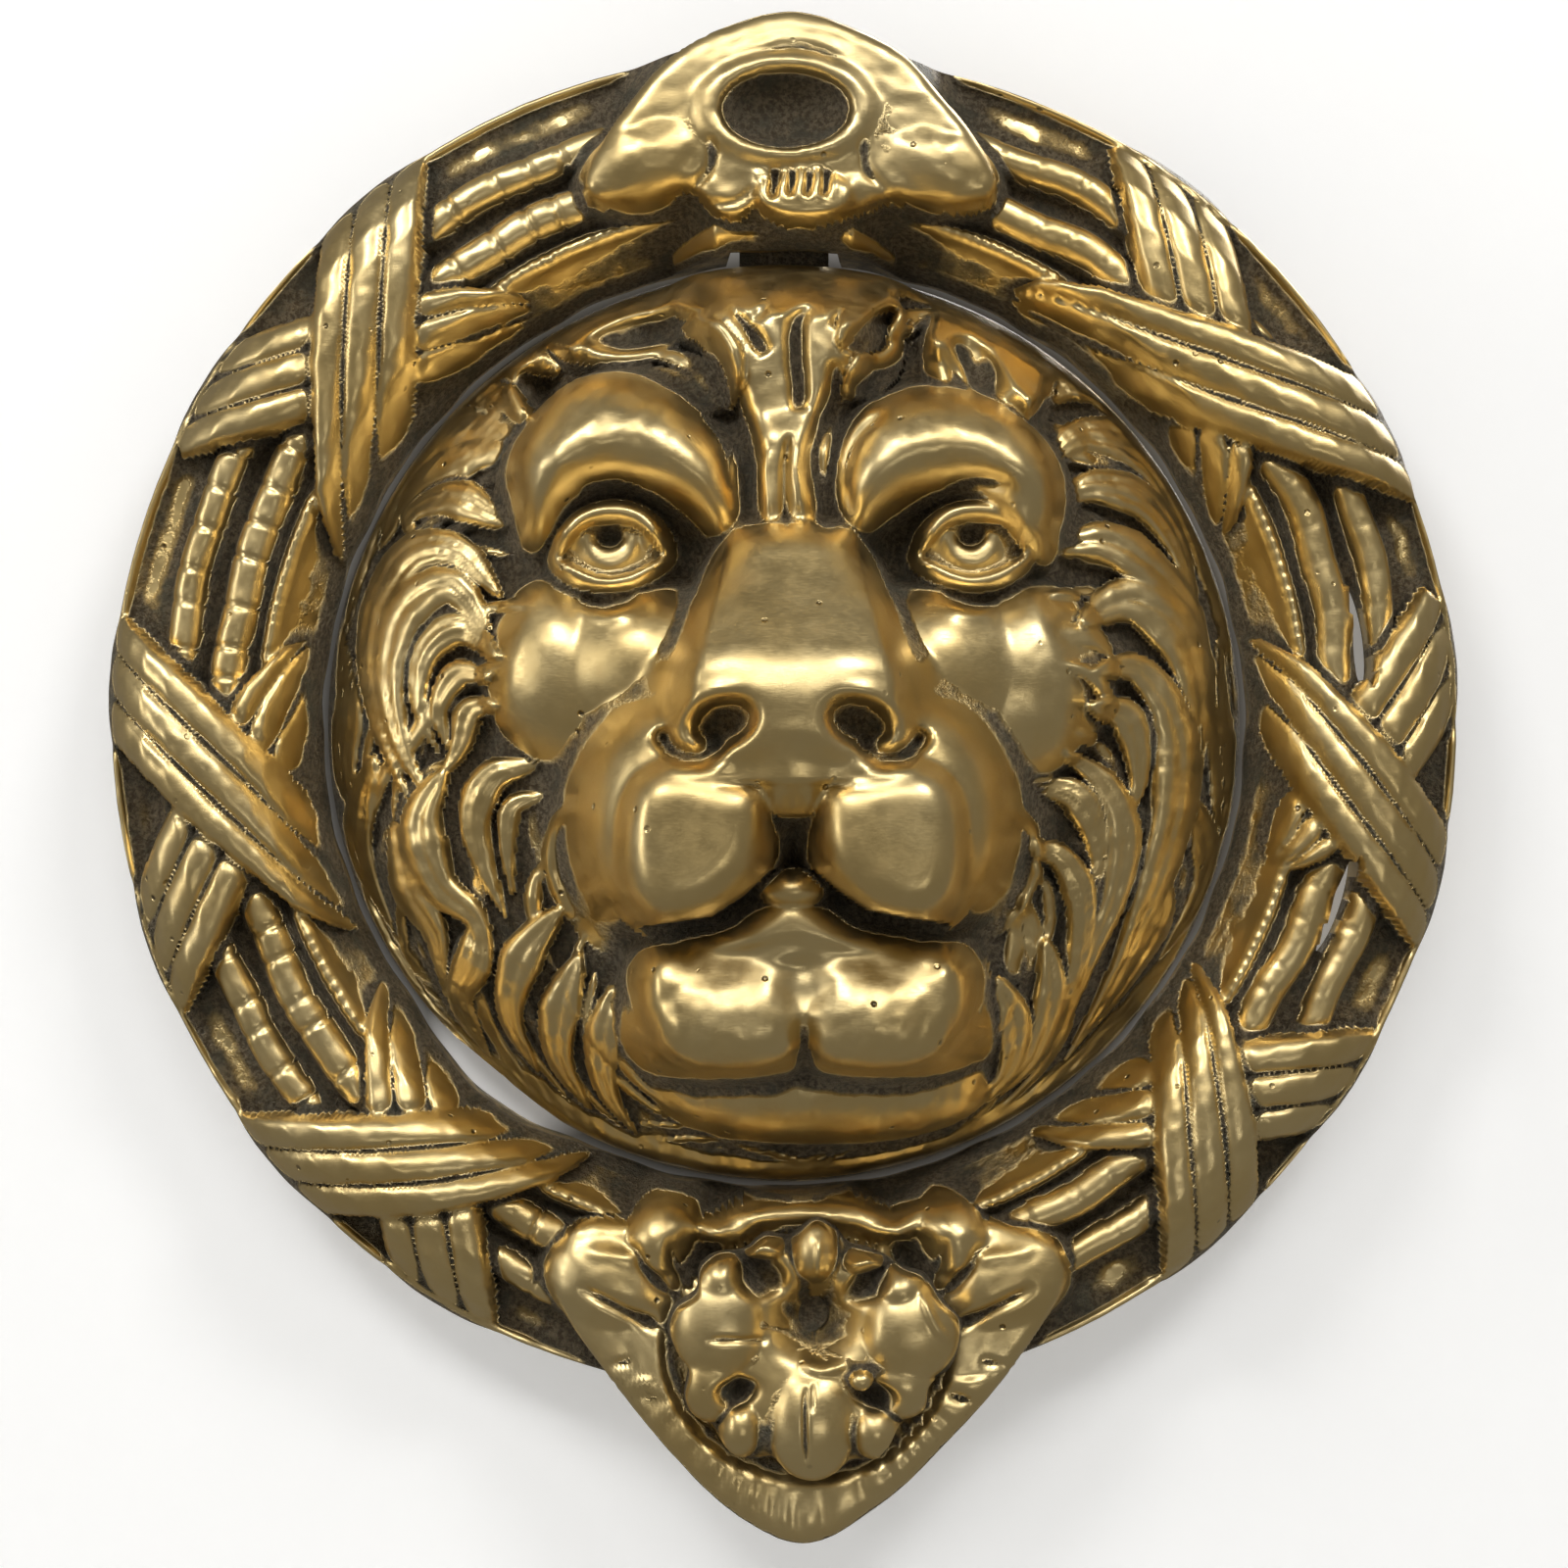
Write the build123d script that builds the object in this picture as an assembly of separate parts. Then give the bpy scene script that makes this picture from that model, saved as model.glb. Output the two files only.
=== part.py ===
from build123d import *
import math
import os

# Cast brass lion door knocker: a hollow lion mask fixed to a door, and a reeded wreath that swings from its top.
# Millimetres. +Z is up, the lion looks along -Y, and the door's face is the plane Y = 0.
# The origin is on the door's face, in the middle of the wreath.

# ---- driving dimensions ----
RING_R = 90.0            # outer radius of the wreath
RING_BACK = -4.0         # the wreath's back edge hangs this far in front of the door
WALL = 2.8               # wall of the cast wreath
HEAD_R = 61.6            # outer radius of the mask's back rim
HEAD_WALL = 4.5          # wall of the cast mask
HINGE_Y = -11.5          # hinge axis, in front of the door
HINGE_Z = 84.0           # hinge axis, above the origin
PIN_R = 2.5              # hinge pin
PIN_HALF = 13.0          # half the pin's length
RUNNING_GAP = 0.06       # radial clearance of the pin in the tongue
TONGUE_HALF = 6.0        # half the width of the hinge tongue
TONGUE_R = 6.0           # round end of the hinge tongue
EAR_GAP = 0.6            # side clearance between tongue and ear
EAR_WIDTH = 5.0
BOSS_X = 3.0             # the bottom boss sits a little to the right of the middle
STRIKE_Z = -77.5         # axis of the hammer and of the strike button
STRIKE_GAP = 0.3         # the hammer's face stops this far from the strike button's crown
HAMMER_FACE = -6.0       # Y of the hammer's striking face
STUD_R = 3.0             # plain shank of a fixing stud
THREAD_R = 2.6           # its threaded ends
STUD_ZS = {"upper": 38.0, "lower": -38.0}
STUD_FLOOR = -2.0        # the mask's inner bosses stop this far short of the door
DOOR = 44.0              # thickness of the door
ROSETTE_BACK = -24.6     # the rosette's flat back, seated on the bottom boss
ROSETTE_R = 17.6         # outer radius of the rosette

# ---- helpers ----


def ellipsoid(centre, radii, turn=(0, 0, 0)):
    return Pos(*centre) * Rot(*turn) * scale(Sphere(1), by=radii)


def rod(x, z, radius, y_front, y_back):
    """A cylinder along Y."""
    length = y_back - y_front
    return Pos(x, (y_front + y_back) / 2, z) * Rot(90, 0, 0) * Cylinder(radius, length)


def cross_rod(y, z, radius, x_low, x_high):
    """A cylinder along X."""
    length = x_high - x_low
    return Pos((x_low + x_high) / 2, y, z) * Rot(0, 90, 0) * Cylinder(radius, length)


def block(x_range, y_range, z_range):
    sizes = [high - low for low, high in (x_range, y_range, z_range)]
    middle = [(low + high) / 2 for low, high in (x_range, y_range, z_range)]
    return Pos(*middle) * Box(*sizes)


def turned(profile, x=0.0, z=0.0):
    """A solid turned about an axis along Y, from (radius, y) points."""
    outline = make_face(Polyline(*[(r, y) for r, y in profile], close=True))
    return Pos(x, 0, z) * revolve(outline, axis=Axis.Y)


def plate(points, y_front, y_back):
    """A flat plate facing -Y with a smooth closed outline through (x, z) points."""
    outline = Spline(*[Vector(x, y_back, z) for x, z in points], periodic=True)
    return Solid.extrude(Face(Wire([outline])), Vector(0, y_front - y_back, 0))


def drafted_plate(points, y_front, y_back, shrink):
    """A plate whose outline shrinks towards its front, about its own middle."""
    middle_x = sum(x for x, z in points) / len(points)
    middle_z = sum(z for x, z in points) / len(points)
    wires = []
    for y, size in ((y_back, 1.0), (y_front, shrink)):
        moved = [
            Vector(middle_x + (x - middle_x) * size, y, middle_z + (z - middle_z) * size)
            for x, z in points
        ]
        wires.append(Wire([Spline(*moved, periodic=True)]))
    return Solid.make_loft(wires)


def on_circle(radius, degrees):
    """The (x, z) point at an angle counted from +X towards +Z."""
    angle = math.radians(degrees)
    return radius * math.cos(angle), radius * math.sin(angle)


# ---- the lion's head ----

LOCK_ROWS = (            # mane locks: how many, radii of one lock, its distance from the middle, its Y
    (24, (4.6, 7.5, 13.0), 45.5, -15.0),
    (18, (4.2, 6.0, 10.0), 37.0, -21.0),
)


def face_forms():
    """The rounded forms that the face is built from."""
    mirrored = (
        ((18.5, -29.0, 33.0), (15.5, 12.0, 11.5), (0, -14, 0)),    # brow
        ((28.0, -21.0, 4.0), (14.0, 13.0, 20.0), (0, 12, 0)),      # cheek
        ((10.0, -44.6, -14.2), (11.6, 12.4, 10.6), (0, 3, 0)),     # muzzle pad
        ((17.5, -32.0, -9.0), (11.5, 15.0, 19.0), (0, -8, 0)),     # side of the muzzle
    )
    central = (
        ((0.0, -16.0, 0.0), (48.0, 18.0, 52.0), (0, 0, 0)),        # skull
        ((0.5, -25.0, 34.0), (11.0, 13.0, 22.0), (0, 0, 0)),       # forehead
        ((0.5, -38.0, 9.0), (12.0, 18.0, 18.0), (-20, 0, 0)),      # bridge of the nose
        ((0.5, -48.0, 1.0), (13.0, 10.0, 8.0), (0, 0, 0)),         # nose leather
        ((0.5, -34.0, -11.0), (18.0, 20.0, 19.0), (0, 0, 0)),      # core of the muzzle
        ((1.0, -35.0, -33.0), (18.0, 15.0, 10.0), (0, 0, 0)),      # chin
        ((1.0, -22.0, -46.0), (23.0, 14.0, 9.5), (0, 0, 0)),       # beard under the chin
        ((0.5, -19.0, 49.0), (20.0, 11.0, 8.5), (0, 0, 0)),        # forelock
    )
    forms = []
    for (x, y, z), radii, (turn_x, turn_y, turn_z) in mirrored:
        for side in (-1, 1):
            forms.append(ellipsoid((side * x, y, z), radii, (turn_x, side * turn_y, side * turn_z)))
    forms += [ellipsoid(centre, radii, turn) for centre, radii, turn in central]
    return forms


def mane():
    locks = []
    for count, radii, centre_r, y in LOCK_ROWS:
        for i in range(count):
            degrees = 90.0 + 360.0 * (i + 0.5) / count
            x, z = on_circle(centre_r, degrees)
            swirl = 14.0 if x > 0 else -14.0
            locks.append(ellipsoid((x, y, z), radii, (0, 90 - degrees + swirl, 0)))
    return locks


def eyes_and_ears():
    pieces = []
    for side in (-1, 1):
        pieces.append(ellipsoid((side * 22.5, -27.5, 22.5), (6.5, 6.5, 5.5)))
        pieces.append(ellipsoid((side * 32.0, -19.0, 43.0), (7.0, 8.0, 7.0), (0, side * 30, 0)))
    return pieces


def tongue():
    """The lug that stands up from the top of the mask and carries the hinge pin."""
    neck = block((-TONGUE_HALF, TONGUE_HALF), (HINGE_Y, HINGE_Y + TONGUE_R - 0.5), (50.0, HINGE_Z))
    end = cross_rod(HINGE_Y, HINGE_Z, TONGUE_R, -TONGUE_HALF, TONGUE_HALF)
    root = block((-TONGUE_HALF, TONGUE_HALF), (-13.0, -2.0), (48.0, 62.0))
    return [neck, end, root]


def lion_head():
    rim = turned([(0, 0), (HEAD_R, 0), (HEAD_R, -4), (59.6, -10), (54.0, -16), (42.0, -22), (0, -26)])
    head = rim + face_forms() + mane() + eyes_and_ears() + tongue()
    head &= block((-150, 150), (-150, 0), (-150, 150))
    inner_r = HEAD_R - HEAD_WALL
    hollow = turned([(0, 1), (inner_r, 1), (inner_r, -4), (inner_r - 5, -10), (inner_r - 17, -16), (0, -20)])
    hollow -= [rod(0, z, 7.5, -80.0, STUD_FLOOR) for z in STUD_ZS.values()]
    muzzle_hollow = turned([(0, -12), (17.0, -12), (16.0, -24), (11.0, -36), (6.0, -41), (0, -42)], 0.5, -4.0)
    head = head - hollow - muzzle_hollow
    head -= [rod(0, z, THREAD_R, -14.0, 1.0) for z in STUD_ZS.values()]
    return head - cross_rod(HINGE_Y, HINGE_Z, PIN_R + RUNNING_GAP, -20, 20)


# ---- fixings ----

SHANK_END = 40.0         # the plain shank ends inside the door
STUD_END = 58.0
WASHER = (8.0, 1.6)      # outer radius and thickness
NUT = (5.0, 5.0)         # half the width across flats and height


def fixing_stud(z):
    ends = rod(0, z, THREAD_R, -13.5, STUD_END)
    shank = rod(0, z, STUD_R, STUD_FLOOR, SHANK_END)
    return ends + shank


def washer(x, z, hole_r):
    ring = rod(x, z, WASHER[0], DOOR, DOOR + WASHER[1])
    return ring - rod(x, z, hole_r, DOOR - 1, DOOR + 3)


def nut(x, z, hole_r):
    y_low = DOOR + WASHER[1]
    outline = RegularPolygon(NUT[0], 6, major_radius=False)
    hexagon = Pos(x, y_low + NUT[1], z) * Rot(90, 0, 0) * extrude(outline, NUT[1])
    chamfers = turned(
        [(0, y_low), (5.3, y_low), (6.2, y_low + 0.6), (6.2, y_low + NUT[1] - 0.6),
         (5.3, y_low + NUT[1]), (0, y_low + NUT[1])],
        x, z,
    )
    return (hexagon & chamfers) - rod(x, z, hole_r, y_low - 1, y_low + NUT[1] + 1)


def strike_button():
    """A domed anvil with a flange on the door and a threaded shank through it."""
    crown = HAMMER_FACE + STRIKE_GAP
    head = turned([(0, 0), (9.0, 0), (9.0, -1.6), (7.6, -2.4), (6.6, crown + 0.8), (5.4, crown), (0, crown)],
                  BOSS_X, STRIKE_Z)
    return head + rod(BOSS_X, STRIKE_Z, THREAD_R, -1.0, STUD_END - 2.0)


# ---- the wreath ----

REEDS = ((83.6, -17.8, 2.3), (76.9, -19.2, 3.0))     # radius, y and thickness of each reed
RIBBON_WIDTH = 13.5
# Each crossing: outer and inner end of the lower ribbon, then of the ribbon that lies over it.
CROSSINGS = (
    ((-76.0, 43.6), (-36.1, 55.2), (-54.7, 70.5), (-58.0, 23.0)),
    ((51.5, 71.0), (58.0, 26.8), (79.0, 38.4), (33.5, 56.5)),
    ((-83.0, -30.0), (-64.5, 9.0), (-88.5, 5.9), (-57.5, -25.7)),
    ((87.5, 9.8), (66.6, -17.7), (87.0, -22.8), (62.4, 9.8)),
    ((-45.4, -77.0), (-52.2, -34.3), (-69.0, -58.8), (-24.8, -55.0)),
    ((76.0, -47.6), (33.5, -53.0), (57.7, -73.5), (53.6, -33.0)),
)
SLOTS = ((80.3, 3.0, 11.0), (80.6, -21.0, -12.0))    # radius and angles of the slots cast through the ring


def ring_shell():
    outer = [(RING_R, RING_BACK), (RING_R, -14.5), (89.4, -15.6), (88.4, -15.6), (86.6, -13.8), (80.6, -15.6),
             (73.4, -14.6), (70.9, -17.4), (70.4, -19.0), (69.2, -19.0), (68.4, -17.4), (64.8, -9.0),
             (63.4, RING_BACK)]
    inner = [(66.4, RING_BACK), (70.6, -11.9), (86.0, -11.2), (RING_R - WALL, -9.6), (RING_R - WALL, RING_BACK)]
    return turned(outer + inner)


def wrap_shell(lift, depth):
    """A band of metal that lies over the reeds all the way round; ribbons are cut from it."""
    outer_edge = (RING_R + 0.3 + lift * 0.2, -5.0)
    shoulder = (86.6, -19.4 - lift)
    inner_shoulder = (71.6, -20.4 - lift)
    inner_edge = (65.8, -8.0)
    outline = [
        ThreePointArc(outer_edge, (89.9 + lift * 0.3, -14.0), shoulder),
        ThreePointArc(shoulder, (79.0, -22.8 - lift), inner_shoulder),
        ThreePointArc(inner_shoulder, (67.6 - lift * 0.3, -15.6), inner_edge),
        Polyline(inner_edge, (66.8 + depth / 4, -8.0), (70.0, -15.0 + depth), (84.0, -16.6 + depth),
                 (88.0, -12.0), (88.4, -5.0), outer_edge),
    ]
    return revolve(make_face(Curve() + outline), axis=Axis.Y)


def ribbon(outer, inner, shell, strand_shell):
    """One ribbon: a tapering strap with three rounded strands."""
    run = Vector(inner[0] - outer[0], 0, inner[1] - outer[1])
    length = run.length
    along = run.normalized()
    across = Vector(-along.Z, 0, along.X)
    start = Vector(outer[0], 0, outer[1]) - along * 2.0

    def prism(offset, half, tip_half):
        corners = [(0, -half), (length * 0.55, -half), (length + 2, -tip_half),
                   (length + 2, tip_half), (length * 0.55, half), (0, half)]
        middle = start + across * offset
        points = [middle + along * u + across * v for u, v in corners]
        face = make_face(Polyline(*points, close=True))
        return extrude(face, amount=40.0, dir=(0, -1, 0))

    strap = shell & prism(0, RIBBON_WIDTH / 2, RIBBON_WIDTH / 5)
    strand_half = RIBBON_WIDTH / 6 - 0.4
    strands = [
        strand_shell & prism(k * RIBBON_WIDTH / 3.2, strand_half, strand_half * 0.5) for k in (-1, 0, 1)
    ]
    return [strap, *strands]


TOP_OUTLINE = ((-25.5, 68.5), (-24.0, 74.0), (-19.5, 83.0), (-13.0, 88.8), (-5.5, 91.8), (0.0, 93.0),
               (7.0, 91.6), (15.0, 88.0), (20.0, 83.0), (25.0, 76.0), (27.5, 70.0), (25.5, 67.4),
               (14.0, 66.6), (9.0, 63.9), (0.0, 62.4), (-7.0, 63.6), (-12.0, 66.8))
BOTTOM_OUTLINE = ((-24.0, -64.6), (-14.0, -63.4), (0.0, -62.4), (14.5, -63.0), (20.5, -62.2), (30.0, -63.6),
                  (37.0, -66.6), (36.6, -75.0), (29.0, -86.6), (20.0, -96.5), (12.5, -103.4), (3.0, -108.5),
                  (-6.0, -104.8), (-14.0, -97.4), (-22.6, -87.0), (-30.5, -76.0), (-29.0, -70.0))


def top_boss():
    """The shield that covers the hinge, with its dished oval and the side walls of the casing."""
    body = drafted_plate(TOP_OUTLINE, -29.0, -8.0, 0.96)
    dish = ellipsoid((0.0, -32.5, 79.0), (10.0, 7.0, 7.0))
    lip = ellipsoid((0.0, -28.0, 79.0), (12.0, 2.8, 9.0))
    leaf = ellipsoid((3.0, -29.0, 67.5), (6.5, 2.0, 2.6))
    return body + [lip, leaf] - dish


def hinge_room():
    """The space inside the top boss for the tongue, open to the door and to the mask."""
    half = TONGUE_HALF + EAR_GAP
    swing = cross_rod(HINGE_Y, HINGE_Z, TONGUE_R + 0.8, -half, half)
    behind = block((-half, half), (HINGE_Y, 0.0), (55.0, HINGE_Z))
    behind_top = block((-half, half), (HINGE_Y, 0.0), (HINGE_Z, HINGE_Z + TONGUE_R + 0.8))
    below = block((-half, half), (HINGE_Y - 3.5, 0.0), (55.0, HINGE_Z - 2.0))
    return swing + [behind, behind_top, below]


def side_hollows():
    """Cored pockets in the top boss on each side of the ears."""
    pockets = []
    for side in (-1, 1):
        inner = TONGUE_HALF + EAR_GAP + EAR_WIDTH
        x_range = sorted((side * inner, side * (inner + 9.0)))
        pockets.append(block(x_range, (-24.5, 0.0), (70.5, 81.0)))
    pockets.append(block((-5.0, 5.0), (-22.6, 0.0), (69.0, 74.0)))
    return pockets


def bottom_boss():
    """The pointed shield that carries the rosette and the hammer."""
    body = drafted_plate(BOTTOM_OUTLINE, -23.0, -7.0, 0.93)
    face = drafted_plate(BOTTOM_OUTLINE, -25.0, -22.0, 0.90)
    rim = ellipsoid((BOSS_X, -23.5, -65.4), (17.0, 3.5, 3.0))
    leaves = [
        ellipsoid((BOSS_X + side * 23.5, -23.0, -72.5), (10.5, 3.5, 6.5), (0, side * 40, 0)) for side in (-1, 1)
    ]
    cored = drafted_plate(
        [(BOSS_X + (x - BOSS_X) * 0.8, -80.0 + (z + 80.0) * 0.8) for x, z in BOTTOM_OUTLINE], -19.5, -6.0, 0.95
    )
    hammer_seat = rod(BOSS_X, STRIKE_Z, 9.0, ROSETTE_BACK, HAMMER_FACE - 4.0)
    rosette_seat = rod(BOSS_X, STRIKE_Z - 4.0, ROSETTE_R + 0.4, -60.0, ROSETTE_BACK)
    return body + [face, rim, *leaves] - [cored, rosette_seat] + hammer_seat


def wreath_ring():
    shell = wrap_shell(0.0, 4.0)
    strand_shell = wrap_shell(0.9, 4.0)
    over_shell = wrap_shell(1.6, 4.0)
    over_strand_shell = wrap_shell(2.5, 4.0)
    pieces = [Pos(0, y, 0) * Rot(90, 0, 0) * Torus(radius, thick) for radius, y, thick in REEDS]
    for low_outer, low_inner, high_outer, high_inner in CROSSINGS:
        pieces += ribbon(low_outer, low_inner, shell, strand_shell)
        pieces += ribbon(high_outer, high_inner, over_shell, over_strand_shell)
    ring = ring_shell() + pieces + [top_boss(), bottom_boss()]
    ears = [
        block(sorted((side * (TONGUE_HALF + EAR_GAP), side * (TONGUE_HALF + EAR_GAP + EAR_WIDTH))),
              (-24.0, HINGE_Y + 5.5), (HINGE_Z - 6.0, HINGE_Z + 5.0))
        for side in (-1, 1)
    ]
    ring = ring + ears - [hinge_room(), *side_hollows()]
    for radius, start, end in SLOTS:
        ring -= ring_slot(radius, start, end)
    ring -= cross_rod(HINGE_Y, HINGE_Z, PIN_R, -PIN_HALF, PIN_HALF)
    hammer_room = rod(BOSS_X, STRIKE_Z, 9.0, HAMMER_FACE - 4.0, 0.0)
    return ring - [rod(BOSS_X, STRIKE_Z, HAMMER_SHANK_R, -40, 0), hammer_room]


def ring_slot(radius, start, end):
    """A narrow slot along the groove between the two reeds."""
    bar = Pos(radius, 0, 0) * Box(1.6, 60, 6)
    count = 8
    steps = [start + (end - start) * i / (count - 1) for i in range(count)]
    return [Rot(0, -degrees, 0) * bar for degrees in steps]


# ---- rosette, hammer and hinge pin ----

HAMMER_SHANK_R = 3.0
PETALS = 5
PETAL_R = 6.6
PETAL_CENTRE_R = ROSETTE_R - PETAL_R


def rosette():
    petals = []
    for i in range(PETALS):
        x, z = on_circle(PETAL_CENTRE_R, 270.0 + 360.0 * i / PETALS)
        petals.append(ellipsoid((BOSS_X + x, ROSETTE_BACK, STRIKE_Z - 4.0 + z), (PETAL_R, 3.6, PETAL_R)))
    centre = ellipsoid((BOSS_X, ROSETTE_BACK, STRIKE_Z - 4.0), (9.5, 3.2, 9.5))
    flower = (centre + petals) & block((-60, 60), (-60, ROSETTE_BACK), (-130, 0))
    return flower - rod(BOSS_X, STRIKE_Z, HAMMER_SHANK_R, -60, 0)


def hammer_stud():
    shank = rod(BOSS_X, STRIKE_Z, HAMMER_SHANK_R, -26.0, HAMMER_FACE - 2.0)
    head = turned(
        [(0, HAMMER_FACE - 4.0), (7.5, HAMMER_FACE - 4.0), (8.0, HAMMER_FACE - 3.4), (7.0, HAMMER_FACE - 0.8),
         (5.0, HAMMER_FACE), (0, HAMMER_FACE)],
        BOSS_X, STRIKE_Z,
    )
    return shank + head


def hinge_pin():
    return cross_rod(HINGE_Y, HINGE_Z, PIN_R, -PIN_HALF, PIN_HALF)


# ---- write the pieces ----


def main():
    os.makedirs("parts", exist_ok=True)
    nodes = {
        "lion_head": lion_head(),
        "strike_button": strike_button(),
        "strike_washer": washer(BOSS_X, STRIKE_Z, THREAD_R),
        "strike_nut": nut(BOSS_X, STRIKE_Z, THREAD_R),
        "wreath_ring": wreath_ring(),
        "rosette": rosette(),
        "hammer_stud": hammer_stud(),
        "hinge_pin": hinge_pin(),
    }
    for name, z in STUD_ZS.items():
        nodes[f"{name}_fixing_stud"] = fixing_stud(z)
        nodes[f"{name}_fixing_washer"] = washer(0.0, z, THREAD_R)
        nodes[f"{name}_fixing_nut"] = nut(0.0, z, THREAD_R)
    for name, solid in nodes.items():
        export_step(solid, f"parts/{name}.step")


main()
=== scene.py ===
import math

import bmesh
import bpy
import numpy as np
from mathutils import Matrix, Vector


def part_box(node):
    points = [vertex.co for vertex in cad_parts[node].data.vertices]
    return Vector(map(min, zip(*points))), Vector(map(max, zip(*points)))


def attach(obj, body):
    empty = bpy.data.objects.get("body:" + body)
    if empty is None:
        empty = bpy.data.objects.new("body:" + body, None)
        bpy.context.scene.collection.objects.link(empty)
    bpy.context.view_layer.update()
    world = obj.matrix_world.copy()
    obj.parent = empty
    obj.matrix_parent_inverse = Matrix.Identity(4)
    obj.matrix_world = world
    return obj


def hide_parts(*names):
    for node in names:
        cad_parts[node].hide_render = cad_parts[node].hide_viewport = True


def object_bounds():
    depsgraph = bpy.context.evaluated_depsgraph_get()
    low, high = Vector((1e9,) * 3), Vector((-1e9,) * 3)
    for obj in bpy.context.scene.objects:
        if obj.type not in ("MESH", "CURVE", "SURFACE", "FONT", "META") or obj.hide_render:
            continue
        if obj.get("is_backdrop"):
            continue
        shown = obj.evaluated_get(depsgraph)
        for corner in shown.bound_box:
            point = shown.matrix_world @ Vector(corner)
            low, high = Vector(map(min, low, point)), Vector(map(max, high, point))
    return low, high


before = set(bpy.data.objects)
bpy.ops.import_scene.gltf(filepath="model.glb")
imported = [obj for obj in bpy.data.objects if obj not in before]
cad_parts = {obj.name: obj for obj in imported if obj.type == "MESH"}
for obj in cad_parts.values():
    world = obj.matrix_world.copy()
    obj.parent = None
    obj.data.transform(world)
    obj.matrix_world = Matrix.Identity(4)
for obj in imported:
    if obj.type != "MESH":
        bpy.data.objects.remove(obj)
cad_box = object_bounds()

# The carving works in millimetres: x to the right, z up, and height towards the viewer, so height = -y.
MM = 0.001
FAR_BELOW = -50.0        # a height that never shows, for the places a shape does not reach
LOCK_ROOT = 0.35         # share of a lock's length over which its root swells

# ---------------------------------------------------------------- smooth shaping


def smooth_max(a, b, k):
    """The larger of two heights, with the crease rounded over k."""
    return np.maximum(a, b) + np.maximum(k - np.abs(a - b), 0.0) ** 2 / (4.0 * k)


def smooth_min(a, b, k):
    """The smaller of two heights, rounded in the same way."""
    return -smooth_max(-a, -b, k)


def step(low, high, value):
    """0 below low, 1 above high, smooth in between."""
    t = np.clip((value - low) / (high - low), 0.0, 1.0)
    return t * t * (3.0 - 2.0 * t)


def soft_interp(value, places, heights, spread):
    """Straight-line interpolation with its corners rounded over spread."""
    return sum(np.interp(value + spread * k, places, heights) for k in (-1, -0.5, 0, 0.5, 1)) / 5


def inside(x, z, outline):
    """Which places are inside a closed outline, and how far each one is from it."""
    p = np.asarray(outline, float)
    q = np.roll(p, -1, axis=0)
    inner = np.zeros(x.shape, bool)
    away = np.full(x.shape, 1e9)
    for (ax, az), (bx, bz) in zip(p, q):
        crosses = (az > z) != (bz > z)
        with np.errstate(divide="ignore", invalid="ignore"):
            inner ^= crosses & (x < (bx - ax) * (z - az) / (bz - az) + ax)
        length2 = max((bx - ax) ** 2 + (bz - az) ** 2, 1e-9)
        t = np.clip(((x - ax) * (bx - ax) + (z - az) * (bz - az)) / length2, 0, 1)
        away = np.minimum(away, np.hypot(x - ax - t * (bx - ax), z - az - t * (bz - az)))
    return inner, away


def rounded(points, per_span=5):
    """A closed outline with its corners rounded off."""
    return curve_points(points, per_span, closed=True)


def curve_points(points, per_span=8, closed=False):
    """Points along a Catmull-Rom curve through the given ones."""
    p = np.asarray(points, float)
    if closed:
        p = np.vstack([p[-1], p, p[0], p[1]])
    else:
        p = np.vstack([2 * p[0] - p[1], p, 2 * p[-1] - p[-2]])
    t = np.linspace(0, 1, per_span, endpoint=False)[:, None]
    spans = [
        0.5 * (2 * b + (c - a) * t + (2 * a - 5 * b + 4 * c - d) * t**2 + (3 * b - a - 3 * c + d) * t**3)
        for a, b, c, d in zip(p[:-3], p[1:-2], p[2:-1], p[3:])
    ]
    line = np.vstack(spans)
    return line if closed else np.vstack([line, p[-2]])


def blur(field, sigma, wrap):
    """Gaussian blur over the sheet's own rows and columns; wrap says which axes are closed rings."""
    reach = int(3 * sigma)
    weights = np.exp(-0.5 * (np.arange(-reach, reach + 1) / sigma) ** 2)
    weights /= weights.sum()
    for axis in (0, 1):
        mode = "wrap" if wrap[axis] else "edge"
        pad = [(0, 0), (0, 0)]
        pad[axis] = (reach, reach)
        padded = np.pad(field, pad, mode=mode)
        size = field.shape[axis]
        total = np.zeros_like(field)
        for k, weight in enumerate(weights):
            total += weight * np.take(padded, np.arange(k, k + size), axis=axis)
        field = total
    return field


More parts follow.
